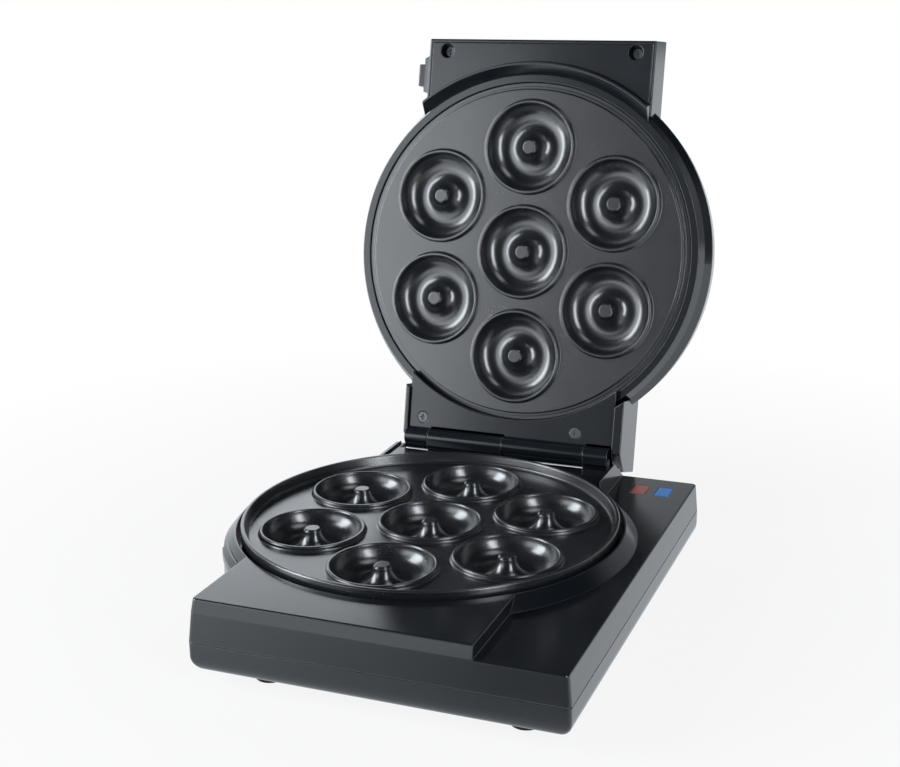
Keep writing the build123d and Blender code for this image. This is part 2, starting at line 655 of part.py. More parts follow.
upper_edge = [
    (0, PLATE_BACK), (UPPER_FLAT_R - 3, PLATE_BACK), (UPPER_FLAT_R - 1.4, UPPER_BACK),
    (UPPER_EDGE_R, UPPER_BACK), (UPPER_EDGE_R, FLAT - 3.5), (UPPER_STEP_R, FLAT - 3.5),
    (UPPER_STEP_R, FLAT - 2.0), (UPPER_FLAT_R + 0.4, FLAT - 2.0), (UPPER_FLAT_R, FLAT - 0.3),
    (UPPER_FLAT_R - 0.3, FLAT), (0, FLAT),
]
with BuildPart() as upper_baking_plate:
    add(baking_plate(UPPER, upper_edge))
upper_baking_plate.part.label = "upper_baking_plate"
export_step(upper_baking_plate.part, "parts/upper_baking_plate.step")


def heater(plane):
    """A tubular element bent to an open ring behind the outer moulds, its ends turned back."""
    ends = [on_circle(MOULD_PITCH_R, 90 + s * TERMINAL_ANGLE) for s in (1, -1)]
    ring = plane.offset(-HEATER_DEPTH)
    with BuildPart() as element:
        with BuildSketch(front_of(ring)):
            with Locations((MOULD_PITCH_R, 0)):
                Circle(HEATER_TUBE_R)
        revolve(axis=Axis(ring.origin, ring.z_dir))
        # opening at the hinge side, closed off by the two ends
        with BuildSketch(ring.offset(-HEATER_TUBE_R)):
            Polygon((0, 0), *[(2 * x, 2 * y) for x, y in ends], align=None)
        extrude(amount=2 * HEATER_TUBE_R, mode=Mode.SUBTRACT)
        with Locations([ring.location * Location((x, y, 0)) for x, y in ends]):
            Sphere(HEATER_TUBE_R)
        with BuildSketch(ring):
            with Locations(ends):
                Circle(HEATER_TUBE_R)
        extrude(amount=-TERMINAL_LENGTH)
    return element.part


def heater_clips(plane):
    """Three saddles between the pan and the heater's ring."""
    clip_top = -HEATER_DEPTH - 1.0
    with BuildPart() as clips:
        with BuildSketch(plane.offset(PAN_FLOOR)):
            with PolarLocations(MOULD_PITCH_R, 3, start_angle=-90):
                Rectangle(CLIP_L, CLIP_W)
        extrude(amount=clip_top - PAN_FLOOR)
        with BuildSketch(front_of(plane)):
            with Locations((MOULD_PITCH_R, -HEATER_DEPTH)):
                Circle(HEATER_TUBE_R)
        revolve(axis=Axis(plane.origin, plane.z_dir), mode=Mode.SUBTRACT)
    return clips.part


def pan(plane, rim_top):
    """The heat reflector: a thin dish behind the heater, with holes for the heater's ends."""
    with BuildPart() as dish:
        with BuildSketch(front_of(plane)):
            with BuildLine():
                Polyline(
                    (0, PAN_FLOOR - PAN_T), (PAN_R, PAN_FLOOR - PAN_T), (PAN_R, rim_top),
                    (PAN_R - PAN_T, rim_top), (PAN_R - PAN_T, PAN_FLOOR), (0, PAN_FLOOR), close=True,
                )
            make_face()
        revolve(axis=Axis(plane.origin, plane.z_dir))
        with BuildSketch(plane.offset(PAN_FLOOR - 2 * PAN_T)):
            with Locations([on_circle(MOULD_PITCH_R, 90 + s * TERMINAL_ANGLE) for s in (-1, 1)]):
                Circle(HEATER_TUBE_R + 1.0)
            with Locations(*[(s * THERMOSTAT_LEAD, 0) for s in (-1, 1)]):
                Circle(2.4)
            with Locations([on_circle(PAN_POST_R, angle) for angle in PAN_SCREW_ANGLES]):
                Circle(SCREW_HOLE_R)
        extrude(amount=3 * PAN_T, mode=Mode.SUBTRACT)
    return dish.part


def thermostat(plane):
    """A disc thermostat pressed against the middle mould, with its strap and two blades."""
    with BuildPart() as sensor:
        with BuildSketch(plane.offset(PAN_FLOOR)):
            SlotOverall(STRAP_L, STRAP_W, rotation=90)
        extrude(amount=STRAP_T)
        with BuildSketch(plane.offset(PAN_FLOOR)):
            Circle(SENSOR_R)
        extrude(amount=SENSOR_H)
        with BuildSketch(plane.offset(PAN_FLOOR)):
            Circle(SENSOR_TOP_R)
        extrude(amount=-CUP_R - PAN_FLOOR)
        with BuildSketch(plane.offset(PAN_FLOOR - BLADE_DROP)):
            with Locations(*[(s * THERMOSTAT_LEAD, 0) for s in (-1, 1)]):
                Rectangle(BLADE_T, BLADE_W)
        extrude(amount=BLADE_DROP + 2.5)
    return sensor.part


def screws(seat, spots, head_r, length):
    """Cross-head screws. Their heads sit on the seat plane, which faces out of the head."""
    with BuildPart() as group:
        with BuildSketch(seat):
            with Locations(spots):
                Circle(head_r)
        extrude(amount=HEAD_T)
        with BuildSketch(seat):
            with Locations(spots):
                Circle(SCREW_R)
        extrude(amount=-length)
        with BuildSketch(seat.offset(HEAD_T)):
            with Locations(spots):
                Rectangle(CROSS_L, CROSS_W)
                Rectangle(CROSS_W, CROSS_L)
        extrude(amount=-CROSS_DEPTH, mode=Mode.SUBTRACT)
    return group.part


def wires(plane, paths):
    """Round wires along rounded paths of (x, y, height) points."""
    with BuildPart() as bundle:
        for points in paths:
            with BuildLine(plane) as path:
                if len(points) > 2:
                    FilletPolyline(*points, radius=WIRE_BEND)
                else:
                    Line(*points)
            with BuildSketch(Plane(origin=path.line @ 0, z_dir=path.line % 0)):
                Circle(WIRE_R)
            sweep(path=path.line)
    return bundle.part


def leftward(spots):
    """Plan points as they read on a plane that faces down."""
    return [(-x, y) for x, y in spots]


PAN_SCREW_SPOTS = [on_circle(PAN_POST_R, angle) for angle in PAN_SCREW_ANGLES]
HALVES = (("lower", LOWER, PLATE_BACK), ("upper", UPPER, UPPER_BACK))
for half, plane, rim_top in HALVES:
    for name, solid in (
        ("heating_element", heater(plane)),
        ("heater_clips", heater_clips(plane)),
        ("heat_reflector", pan(plane, rim_top)),
        ("thermostat", thermostat(plane)),
        ("reflector_screws", screws(plane.offset(PAN_FLOOR), PAN_SCREW_SPOTS, HEAD_R, PAN_SCREW_L - 1)),
    ):
        with BuildPart() as piece:
            add(solid)
        piece.part.label = f"{half}_{name}"
        export_step(piece.part, f"parts/{half}_{name}.step")


# ================================================================ base electrics
BLOCK_X = CORD_X - 15.0     # mains terminal block on the tray's floor
BLOCK_Y = REAR_Y - 26.5
BLOCK_W = 18.0
BLOCK_D = 12.0
BLOCK_H = 10.0
CLAMP_R = 1.7               # its clamp screws' holes
CLAMP_DEPTH = 1.5
CLAMP_X = BLOCK_X + BLOCK_W / 3
LAMP_R = 2.2
LAMP_Y = WINDOW_Y - 4.3
FUSE_R = 2.1
FUSE_Y = 35.0
FUSE_L = 12.0
PANEL_UNDER_Z = PANEL_Z - WALL
WIRE_Z = TRAY_FLOOR_Z + 6.0
HEATER_END_X, HEATER_END_Y = on_circle(MOULD_PITCH_R, 90 - TERMINAL_ANGLE)
HEATER_END_Z = RING_Z - HEATER_DEPTH - TERMINAL_LENGTH
BLADE_Z = RING_Z + PAN_FLOOR - BLADE_DROP


def terminal_block(plane, x, y, z, w, d, h):
    """A three-way terminal block with its clamp screws sunk into the top."""
    with BuildPart() as block:
        with BuildSketch(plane.offset(z)):
            with Locations((x, y)):
                Rectangle(w, d)
        extrude(amount=h)
        with BuildSketch(plane.offset(z + h)):
            with Locations((x, y)):
                with GridLocations(w / 3, 1, 3, 1):
                    Circle(CLAMP_R)
        extrude(amount=-CLAMP_DEPTH, mode=Mode.SUBTRACT)
    return block.part


with BuildPart() as mains_terminal_block:
    add(terminal_block(BASE, BLOCK_X, BLOCK_Y, TRAY_FLOOR_Z, BLOCK_W, BLOCK_D, BLOCK_H))
mains_terminal_block.part.label = "mains_terminal_block"
export_step(mains_terminal_block.part, "parts/mains_terminal_block.step")

with BuildPart() as thermal_fuse:
    with BuildSketch(BASE_FRONT.offset(-FUSE_Y - FUSE_L / 2)):
        with Locations((-HEATER_END_X, PAN_Z - FUSE_R)):
            Circle(FUSE_R)
    extrude(amount=FUSE_L)
thermal_fuse.part.label = "thermal_fuse"
export_step(thermal_fuse.part, "parts/thermal_fuse.step")

with BuildPart() as cord_gland:
    with BuildSketch(BASE_FRONT.offset(-REAR_Y)):
        with Locations((CORD_X, CORD_Z)):
            Circle(GLAND_R + 1.6)
    extrude(amount=-2.2)
    fillet(cord_gland.edges().group_by(Axis.Y)[-1], 0.8)
    with BuildSketch(BASE_FRONT.offset(-REAR_Y)):
        with Locations((CORD_X, CORD_Z)):
            Circle(GLAND_R - 0.1)
    extrude(amount=WALL)
    with BuildSketch(BASE_FRONT.offset(WALL - REAR_Y)):
        with Locations((CORD_X, CORD_Z)):
            Rectangle(2 * GLAND_R + 2, 2 * GLAND_R - 2.2)
    extrude(amount=2.0)
    with BuildSketch(BASE_FRONT.offset(-REAR_Y)):
        with Locations((CORD_X, CORD_Z)):
            Circle(CORD_HOLE_R)
    extrude(amount=10, both=True, mode=Mode.SUBTRACT)
cord_gland.part.label = "cord_gland"
export_step(cord_gland.part, "parts/cord_gland.step")

with BuildPart() as indicator_board:
    with BuildSketch(BASE.offset(BOARD_Z)):
        with Locations((BOARD_X, BOARD_Y)):
            Rectangle(BOARD_W, BOARD_D)
    extrude(amount=BOARD_T)
indicator_board.part.label = "indicator_board"
export_step(indicator_board.part, "parts/indicator_board.step")

with BuildPart() as indicator_lamps:
    with BuildSketch(BASE.offset(BOARD_Z + BOARD_T)):
        with Locations((RED_X, LAMP_Y), (BLUE_X, LAMP_Y)):
            Circle(LAMP_R)
    extrude(amount=4.6)
    fillet(indicator_lamps.edges().group_by(Axis.Z)[-1], 1.5)
indicator_lamps.part.label = "indicator_lamps"
export_step(indicator_lamps.part, "parts/indicator_lamps.step")

for name, x in (("red_light_window", RED_X), ("blue_light_window", BLUE_X)):
    with BuildPart() as window:
        with BuildSketch(BASE.offset(PANEL_UNDER_Z)):
            with Locations((x, WINDOW_Y)):
                Rectangle(WINDOW_W - 2 * WINDOW_FIT, WINDOW_D - 2 * WINDOW_FIT)
        extrude(amount=WALL + 0.2)
        fillet(window.edges().group_by(Axis.Z)[-1], 0.5)
        with BuildSketch(BASE.offset(PANEL_UNDER_Z)):
            with Locations((x, WINDOW_Y)):
                Rectangle(WINDOW_W + 2 * WINDOW_LIP, WINDOW_D + 2 * WINDOW_LIP)
        extrude(amount=-1.0)
    window.part.label = name
    export_step(window.part, f"parts/{name}.step")

block_side = BLOCK_X - BLOCK_W / 2
base_paths = [
    [(block_side, BLOCK_Y + 3, WIRE_Z), (HEATER_END_X, BLOCK_Y + 3, WIRE_Z),
     (HEATER_END_X, HEATER_END_Y, WIRE_Z), (HEATER_END_X, HEATER_END_Y, HEATER_END_Z)],
    [(block_side, BLOCK_Y, WIRE_Z), (20, BLOCK_Y, WIRE_Z), (20, 0, WIRE_Z), (THERMOSTAT_LEAD, 0, WIRE_Z),
     (THERMOSTAT_LEAD, 0, BLADE_Z)],
    [(-HEATER_END_X, HEATER_END_Y, HEATER_END_Z), (-HEATER_END_X, HEATER_END_Y, WIRE_Z),
     (-HEATER_END_X, FUSE_Y + FUSE_L / 2 + 4, WIRE_Z),
     (-HEATER_END_X, FUSE_Y + FUSE_L / 2 + 4, PAN_Z - FUSE_R),
     (-HEATER_END_X, FUSE_Y + FUSE_L / 2, PAN_Z - FUSE_R)],
    [(-HEATER_END_X, FUSE_Y - FUSE_L / 2, PAN_Z - FUSE_R),
     (-HEATER_END_X, FUSE_Y - FUSE_L / 2 - 6, PAN_Z - FUSE_R),
     (-HEATER_END_X, FUSE_Y - FUSE_L / 2 - 14, WIRE_Z), (-THERMOSTAT_LEAD, 0, WIRE_Z),
     (-THERMOSTAT_LEAD, 0, BLADE_Z)],
    [(CORD_X - 1.6, REAR_Y - 2, CORD_Z), (CORD_X - 1.6, BLOCK_Y + BLOCK_D, CORD_Z),
     (BLOCK_X + 3, BLOCK_Y + BLOCK_D, CORD_Z), (BLOCK_X + 3, BLOCK_Y + BLOCK_D / 2, CORD_Z)],
    [(CORD_X + 1.6, REAR_Y - 2, CORD_Z), (CORD_X + 1.6, BLOCK_Y, CORD_Z),
     (BLOCK_X + BLOCK_W / 2, BLOCK_Y, CORD_Z)],
    [(CLAMP_X, BLOCK_Y, TRAY_FLOOR_Z + BLOCK_H - CLAMP_DEPTH), (CLAMP_X, BLOCK_Y, BOARD_Z)],
]
with BuildPart() as base_wiring:
    add(wires(BASE, base_paths))
base_wiring.part.label = "base_wiring"
export_step(base_wiring.part, "parts/base_wiring.step")

with BuildPart() as base_screws:
    add(screws(facing_down(BASE, PEDESTAL_Z - 2), leftward(BOSS_SPOTS), HEAD_R, SCREW_L))
base_screws.part.label = "base_screws"
export_step(base_screws.part, "parts/base_screws.step")

# ---------------------------------------------------------------- hinge pin
with BuildPart() as hinge_pin:
    with BuildSketch(BASE_SIDE.offset(KNUCKLES[0][0] + 0.4)):
        with Locations((HINGE_Y, HINGE_Z)):
            Circle(PIN_R)
    extrude(amount=KNUCKLES[-1][1] - KNUCKLES[0][0] - 0.8)
hinge_pin.part.label = "hinge_pin"
export_step(hinge_pin.part, "parts/hinge_pin.step")

# ---------------------------------------------------------------- plate release in the collar
TAB_R = WELL_R + 2.4        # inner face of the tab
TAB_PROUD = 0.8
TAB_FIT = 0.3
TAB_TRAVEL = 2.0
SPRING_SEAT_R = WELL_R - 2.0
SPRING_HALF = 5.0           # degrees
SPRING_T = 0.5

with BuildPart() as lower_release_button:
    add(slot_wedge(SLOT_HALF - 0.2, TAB_R, COLLAR_SEAM_R + 4, SLOT_BOTTOM_Z + TAB_FIT, SLOT_TOP_Z - TAB_FIT))
    add(turned(BASE_FRONT, BASE_AXIS, [
        (0, PARTING_Z), (COLLAR_SEAM_R + TAB_PROUD, PARTING_Z), (COLLAR_FOOT_R + TAB_PROUD, PANEL_Z),
        (COLLAR_TOP_R + TAB_PROUD, PLATFORM_Z), (0, PLATFORM_Z),
    ]), mode=Mode.INTERSECT)
lower_release_button.part.label = "lower_release_button"
export_step(lower_release_button.part, "parts/lower_release_button.step")

spring_points = [
    on_circle(SPRING_SEAT_R + 0.05, SLOT_ANGLE - SPRING_HALF), on_circle(TAB_R - 0.05, SLOT_ANGLE),
    on_circle(SPRING_SEAT_R + 0.05, SLOT_ANGLE + SPRING_HALF),
    on_circle(SPRING_SEAT_R + 0.05, SLOT_ANGLE + SPRING_HALF - 0.6),
    on_circle(TAB_R - SPRING_T, SLOT_ANGLE),
    on_circle(SPRING_SEAT_R + 0.05, SLOT_ANGLE - SPRING_HALF + 0.6),
]
with BuildPart() as lower_release_spring:
    with BuildSketch(BASE.offset(SLOT_BOTTOM_Z + 1.6)):
        Polygon(*spring_points, align=None)
    extrude(amount=2.4)
lower_release_spring.part.label = "lower_release_spring"
export_step(lower_release_spring.part, "parts/lower_release_spring.step")


# ================================================================ lid
HANDLE_SCREWS = [(side * (HANDLE_HALF - 11.5), HANDLE_FRONT_Y + 6.7) for side in (-1, 1)]
HINGE_SCREWS = [(x, HINGE_Y - 14.9) for x in (-54.5, 40.5)]
RECESS_R = 4.3              # wells of the handle's screws
RECESS_DEPTH = 7.0
TUBE_R = 5.6
TUBE_FLOOR = 2.0
TUBE_TOP_Z = HANDLE_FACE_Z + RECESS_DEPTH + TUBE_FLOOR
HINGE_HEAD_R = 3.1
HINGE_TUBE_TOP_Z = HINGE_FACE_Z + HEAD_T + TUBE_FLOOR
BAND_UNDER_Z = BAND_TOP_Z - WALL
DRUM_UNDER_Z = LID_TOP_Z - WALL
UPPER_PAN_BACK_Z = RING_Z + PLATE_GAP - PAN_FLOOR + PAN_T
PLATE_BACK_Z = RING_Z + PLATE_GAP - UPPER_BACK      # back of the upper plate's edge
HANDLE_TOP_Y = HANDLE_FRONT_Y - HANDLE_LEAN
KNUCKLE_CLEAR = KNUCKLE_RISE + KNUCKLE_R + 1.1  # kept free for the base's knuckles
BARREL_Y = HINGE_Y - KNUCKLE_RISE * sin(radians(LID_OPEN))  # middle of the lid's barrels
BARREL_Z = HINGE_Z + KNUCKLE_RISE * cos(radians(LID_OPEN))
COVER_END_Y = HINGE_Y - 7.3
COVER_CUT_R = UPPER_EDGE_R + 0.2
COVER_LIP_R = COVER_CUT_R + 2.4
LIP_HALF = HANDLE_HALF - 0.7
FRAME_LEDGE_R = LEDGE_R + 0.2
SPIGOT_R = LID_WAIST_R - WALL - SEAM
SPIGOT_T = 1.8
SPIGOT_Z = LID_WAIST_Z + 2.4


def ring_of_lid(points):
    """A solid of revolution in the lid, from (radius, height) points."""
    return turned(LID_FRONT, LID_AXIS, points)


def lid_rod(radius, x_low, x_high, middle=(HINGE_Y, HINGE_Z)):
    """A rod across the lid, along the hinge axis or another line beside it."""
    with BuildPart() as rod:
        with BuildSketch(LID_SIDE.offset(x_low)):
            with Locations(middle):
                Circle(radius)
        extrude(amount=x_high - x_low)
    return rod.part


def lid_posts(spots, radius, z_low, z_high):
    """Round posts between two heights of the lid."""
    with BuildPart() as posts:
        with BuildSketch(LID.offset(z_low)):
            with Locations(spots):
                Circle(radius)
        extrude(amount=z_high - z_low)
    return posts.part


frame_face = [
    (LID_RING_R, LID_RING_Z), (LID_FOOT_R, LID_RING_Z), (LID_SKIRT_R, LID_SKIRT_Z),
    (LID_WAIST_R, LID_WAIST_Z),
]
frame_zone = ring_of_lid([
    (0, 0), (LID_FOOT_R + SEAM, 0), (LID_FOOT_R + SEAM, LID_RING_Z), (LID_SKIRT_R + SEAM, LID_SKIRT_Z),
    (LID_WAIST_R + SEAM, LID_WAIST_Z), (0, LID_WAIST_Z),
])
swing_room = [
    lid_rod(KNUCKLE_CLEAR, low, high) + slab(
        LID, low, high, HINGE_Y - 13, HINGE_Y, HINGE_RIM_Z - 2, HINGE_FACE_Z - 0.05
    )
    for low, high in ((KNUCKLES[0][1], KNUCKLES[2][0]), (KNUCKLES[2][1], HINGE_OPENING))
]
lid_barrels = [
    lid_rod(KNUCKLE_R, low, high, (BARREL_Y, BARREL_Z)) + lid_rod(EYE_R, low, high)
    for low, high in (KNUCKLES[0], KNUCKLES[2])
]
pin_bore = lid_rod(PIN_R + PIN_FIT, KNUCKLES[0][0], HINGE_OPENING)

# ---------------------------------------------------------------- outer shell
def rounded_block(x_low, x_high, points):
    """A block of the lid with its moulded edges rounded, apart from those inside the drum."""
    with BuildPart() as block:
        add(side_prism(LID_SIDE, x_low, x_high, points))
        outside = block.edges().filter_by(lambda edge: abs(LID.to_local_coords(edge.center()).Y) > 1)
        fillet(outside, EDGE_ROUND)
    return block.part


handle_block = rounded_block(-HANDLE_HALF, HANDLE_HALF, [
    (0, HANDLE_FACE_Z), (HANDLE_FRONT_Y, HANDLE_FACE_Z), (HANDLE_TOP_Y, BAND_TOP_Z), (0, BAND_TOP_Z),
])
handle_hollow = side_prism(LID_SIDE, HANDLE_RIM - HANDLE_HALF, HANDLE_HALF - HANDLE_RIM, [
    (0, HANDLE_FACE_Z - 1), (HANDLE_FRONT_Y + HANDLE_RIM, HANDLE_FACE_Z - 1),
    (HANDLE_FRONT_Y + HANDLE_RIM, HANDLE_FACE_Z), (HANDLE_TOP_Y + HANDLE_RIM, BAND_UNDER_Z),
    (0, BAND_UNDER_Z),
])
hinge_block = rounded_block(HINGE_LEFT, HINGE_RIGHT, [
    (0, HINGE_RIM_Z), (HINGE_FLAT_Y, HINGE_RIM_Z), (HINGE_FLAT_Y + HINGE_CHAMFER, HANDLE_FACE_Z),
    (HINGE_BLOCK_Y, BAND_TOP_Z), (0, BAND_TOP_Z),
])
hinge_hollow = side_prism(LID_SIDE, -HINGE_OPENING, HINGE_OPENING, [
    (0, HINGE_RIM_Z - 1), (HINGE_FLAT_Y - 4.5, HINGE_RIM_Z - 1),
    (HINGE_FLAT_Y + HINGE_CHAMFER - WALL, HANDLE_FACE_Z), (HINGE_BLOCK_Y - WALL, BAND_UNDER_Z),
    (0, BAND_UNDER_Z),
])
with BuildPart() as drum:
    add(ring_of_lid([
        (0, LID_WAIST_Z), (LID_WAIST_R, LID_WAIST_Z), (LID_SHOULDER_R, LID_SHOULDER_Z),
        (LID_EDGE_R, LID_TOP_Z), (0, LID_TOP_Z),
    ]))
    fillet(drum.edges().filter_by(GeomType.CIRCLE).sort_by(LID_AXIS)[-1], SHOULDER_ROUND)
drum_hollow = ring_of_lid([
    (0, 0), (LID_WAIST_R - WALL, 0), (LID_WAIST_R - WALL, LID_WAIST_Z),
    (LID_SHOULDER_R - WALL, LID_SHOULDER_Z - 1), (LID_TOP_R - 1, DRUM_UNDER_Z), (0, DRUM_UNDER_Z),
])
button_hole = slab(
    LID, -FAR, -HANDLE_HALF + HANDLE_RIM + 1,
    LID_BUTTON_Y - LID_BUTTON_W / 2 - BUTTON_FIT, LID_BUTTON_Y + LID_BUTTON_W / 2 + BUTTON_FIT,
    LID_BUTTON_Z - LID_BUTTON_H / 2 - BUTTON_FIT, LID_BUTTON_Z + LID_BUTTON_H / 2 + BUTTON_FIT,
)
PAN_POSTS = [on_circle(PAN_POST_R, angle) for angle in PAN_POST_ANGLES]
with BuildPart() as lid_outer_shell:
    add(drum.part)
    add(handle_block)
    add(hinge_block)
    add(frame_zone, mode=Mode.SUBTRACT)
    add(drum_hollow, mode=Mode.SUBTRACT)
    add(handle_hollow, mode=Mode.SUBTRACT)
    add(hinge_hollow, mode=Mode.SUBTRACT)
    add(swing_room, mode=Mode.SUBTRACT)
    add(lid_barrels)
    add(lid_posts(PAN_POSTS, PAN_POST_SIZE, UPPER_PAN_BACK_Z, DRUM_UNDER_Z + WALL / 2))
    add(lid_posts(HANDLE_SCREWS, BOSS_R, TUBE_TOP_Z, BAND_UNDER_Z + WALL / 2))
    add(lid_posts(HINGE_SCREWS, BOSS_R, HINGE_TUBE_TOP_Z, BAND_UNDER_Z + WALL / 2))
    add(pin_bore, mode=Mode.SUBTRACT)
    add(lid_posts(PAN_SCREW_SPOTS, SCREW_HOLE_R, 0, UPPER_PAN_BACK_Z + PAN_SCREW_L), mode=Mode.SUBTRACT)
    add(lid_posts(HANDLE_SCREWS, SCREW_HOLE_R, 0, TUBE_TOP_Z + SCREW_L), mode=Mode.SUBTRACT)
    add(lid_posts(HINGE_SCREWS, SCREW_HOLE_R, 0, HINGE_TUBE_TOP_Z + SCREW_L), mode=Mode.SUBTRACT)
    add(button_hole, mode=Mode.SUBTRACT)
lid_outer_shell.part.label = "lid_outer_shell"
export_step(lid_outer_shell.part, "parts/lid_outer_shell.step")

# ---------------------------------------------------------------- inner frame round the plate
with BuildPart() as lid_inner_frame:
    add(ring_of_lid(frame_face[:3] + [
        (LID_WAIST_R, LID_WAIST_Z - SEAM), (SPIGOT_R, LID_WAIST_Z - SEAM), (SPIGOT_R, SPIGOT_Z),
        (SPIGOT_R - SPIGOT_T, SPIGOT_Z), (SPIGOT_R - SPIGOT_T, LID_WAIST_Z - 2),
        (LID_SKIRT_R - 3, LID_SKIRT_Z - 0.5), (FRAME_LEDGE_R, LID_SKIRT_Z - 0.5),
        (FRAME_LEDGE_R, PLATE_BACK_Z), (LID_RING_R, PLATE_BACK_Z),
    ]))
    add(lid_posts(HINGE_SCREWS, BOSS_R + SEAM, 0, FAR), mode=Mode.SUBTRACT)
lid_inner_frame.part.label = "lid_inner_frame"
export_step(lid_inner_frame.part, "parts/lid_inner_frame.step")

# ---------------------------------------------------------------- handle cover
COVER_HALF = HANDLE_HALF - HANDLE_RIM - SEAM
COVER_FRONT_Y = HANDLE_FRONT_Y + HANDLE_RIM + SEAM
SEAT_X = 12.6 - HANDLE_HALF # rib that the release button's spring pushes against
SEAT_T = 2.0
LIP_BACK_R = LID_SKIRT_R
lip = ring_of_lid([
    (LID_FOOT_R + SEAM, LID_RING_Z), (LIP_CREST_R - LIP_CREST_W / 2, LIP_CREST_Z),
    (LIP_CREST_R + LIP_CREST_W / 2, LIP_CREST_Z), (LIP_OUTER_R, HANDLE_FACE_Z),
    (LIP_OUTER_R, HANDLE_FACE_Z + COVER_T), (LIP_BACK_R, HANDLE_FACE_Z + COVER_T),
])
with BuildPart() as lid_handle_cover:
    add(slab(LID, -COVER_HALF, COVER_HALF, COVER_FRONT_Y, 0, HANDLE_FACE_Z, HANDLE_FACE_Z + COVER_T))
    add(ring_of_lid([(0, 0), (LIP_CREST_R, 0), (LIP_CREST_R, FAR), (0, FAR)]), mode=Mode.SUBTRACT)
    add(lip & (
        slab(LID, -LIP_HALF, LIP_HALF, -FAR, 0, 0, HANDLE_FACE_Z - SEAM)
        + slab(LID, -COVER_HALF, COVER_HALF, -FAR, 0, 0, FAR)
    ))
    add(lid_posts(HANDLE_SCREWS, TUBE_R, HANDLE_FACE_Z, TUBE_TOP_Z))
    add(slab(LID, -FAR, FAR, -FAR, COVER_FRONT_Y, 0, FAR), mode=Mode.SUBTRACT)
    add(lid_posts(HANDLE_SCREWS, RECESS_R, 0, HANDLE_FACE_Z + RECESS_DEPTH), mode=Mode.SUBTRACT)
    add(lid_posts(HANDLE_SCREWS, SCREW_HOLE_R, 0, FAR), mode=Mode.SUBTRACT)
    add(slab(LID, SEAT_X, SEAT_X + SEAT_T, LID_BUTTON_Y - 6, LID_BUTTON_Y + 6,
             HANDLE_FACE_Z + COVER_T / 2, LID_BUTTON_Z + LID_BUTTON_H / 2 + 1))
lid_handle_cover.part.label = "lid_handle_cover"
export_step(lid_handle_cover.part, "parts/lid_handle_cover.step")

with BuildPart() as lid_handle_screws:
    add(screws(facing_down(LID, HANDLE_FACE_Z + RECESS_DEPTH), leftward(HANDLE_SCREWS), HEAD_R, SCREW_L))
lid_handle_screws.part.label = "lid_handle_screws"
export_step(lid_handle_screws.part, "parts/lid_handle_screws.step")

# ---------------------------------------------------------------- hinge cover
HINGE_COVER_HALF = HINGE_OPENING - SEAM
with BuildPart() as lid_hinge_cover:
    add(slab(LID, -HINGE_COVER_HALF, HINGE_COVER_HALF, 0, COVER_END_Y, HINGE_FACE_Z, HINGE_FACE_Z + COVER_T))
    add(ring_of_lid([(0, 0), (COVER_CUT_R, 0), (COVER_CUT_R, FAR), (0, FAR)]), mode=Mode.SUBTRACT)
    add(ring_of_lid([
        (COVER_CUT_R, HINGE_FACE_Z), (COVER_LIP_R, HINGE_FACE_Z), (COVER_LIP_R, LID_RING_Z - SEAM),
        (COVER_CUT_R, LID_RING_Z - SEAM),
    ]) & slab(LID, -HINGE_COVER_HALF, HINGE_COVER_HALF, 0, FAR, 0, FAR))
    add(lid_posts(HINGE_SCREWS, TUBE_R, HINGE_FACE_Z, HINGE_TUBE_TOP_Z))
    add(lid_posts(HINGE_SCREWS, HINGE_HEAD_R + 0.3, 0, HINGE_FACE_Z + HEAD_T), mode=Mode.SUBTRACT)
    add(lid_posts(HINGE_SCREWS, SCREW_HOLE_R, 0, FAR), mode=Mode.SUBTRACT)
    add(swing_room, mode=Mode.SUBTRACT)
    add(lid_rod(KNUCKLE_R + SEAM, -HINGE_OPENING, HINGE_OPENING, (BARREL_Y, BARREL_Z)), mode=Mode.SUBTRACT)
lid_hinge_cover.part.label = "lid_hinge_cover"
export_step(lid_hinge_cover.part, "parts/lid_hinge_cover.step")

with BuildPart() as lid_hinge_screws:
    add(screws(facing_down(LID, HINGE_FACE_Z + HEAD_T), leftward(HINGE_SCREWS), HINGE_HEAD_R, SCREW_L))
lid_hinge_screws.part.label = "lid_hinge_screws"
export_step(lid_hinge_screws.part, "parts/lid_hinge_screws.step")

# ---------------------------------------------------------------- plate release in the lid
BEZEL_CHAMFER = 3.0
FLANGE_T = 1.5
FLANGE_EXTRA = 2.0          # the button's inner flange is this much larger than the button
BUTTON_SPRING_R = 2.6
BUTTON_WIRE_R = 0.35
BUTTON_SPRING_TURNS = 5
FLANGE_X = -HANDLE_HALF + HANDLE_RIM + 0.1
with BuildPart() as upper_release_bezel:
    with BuildSketch(LID_SIDE.offset(-HANDLE_HALF)):
        with Locations((LID_BUTTON_Y, LID_BUTTON_Z)):
            Rectangle(BEZEL_W, BEZEL_H)
    extrude(amount=-BEZEL_T)
    chamfer(upper_release_bezel.faces().sort_by(Axis.X)[0].edges(), BEZEL_CHAMFER, 1.2)
    add(button_hole, mode=Mode.SUBTRACT)
upper_release_bezel.part.label = "upper_release_bezel"
export_step(upper_release_bezel.part, "parts/upper_release_bezel.step")

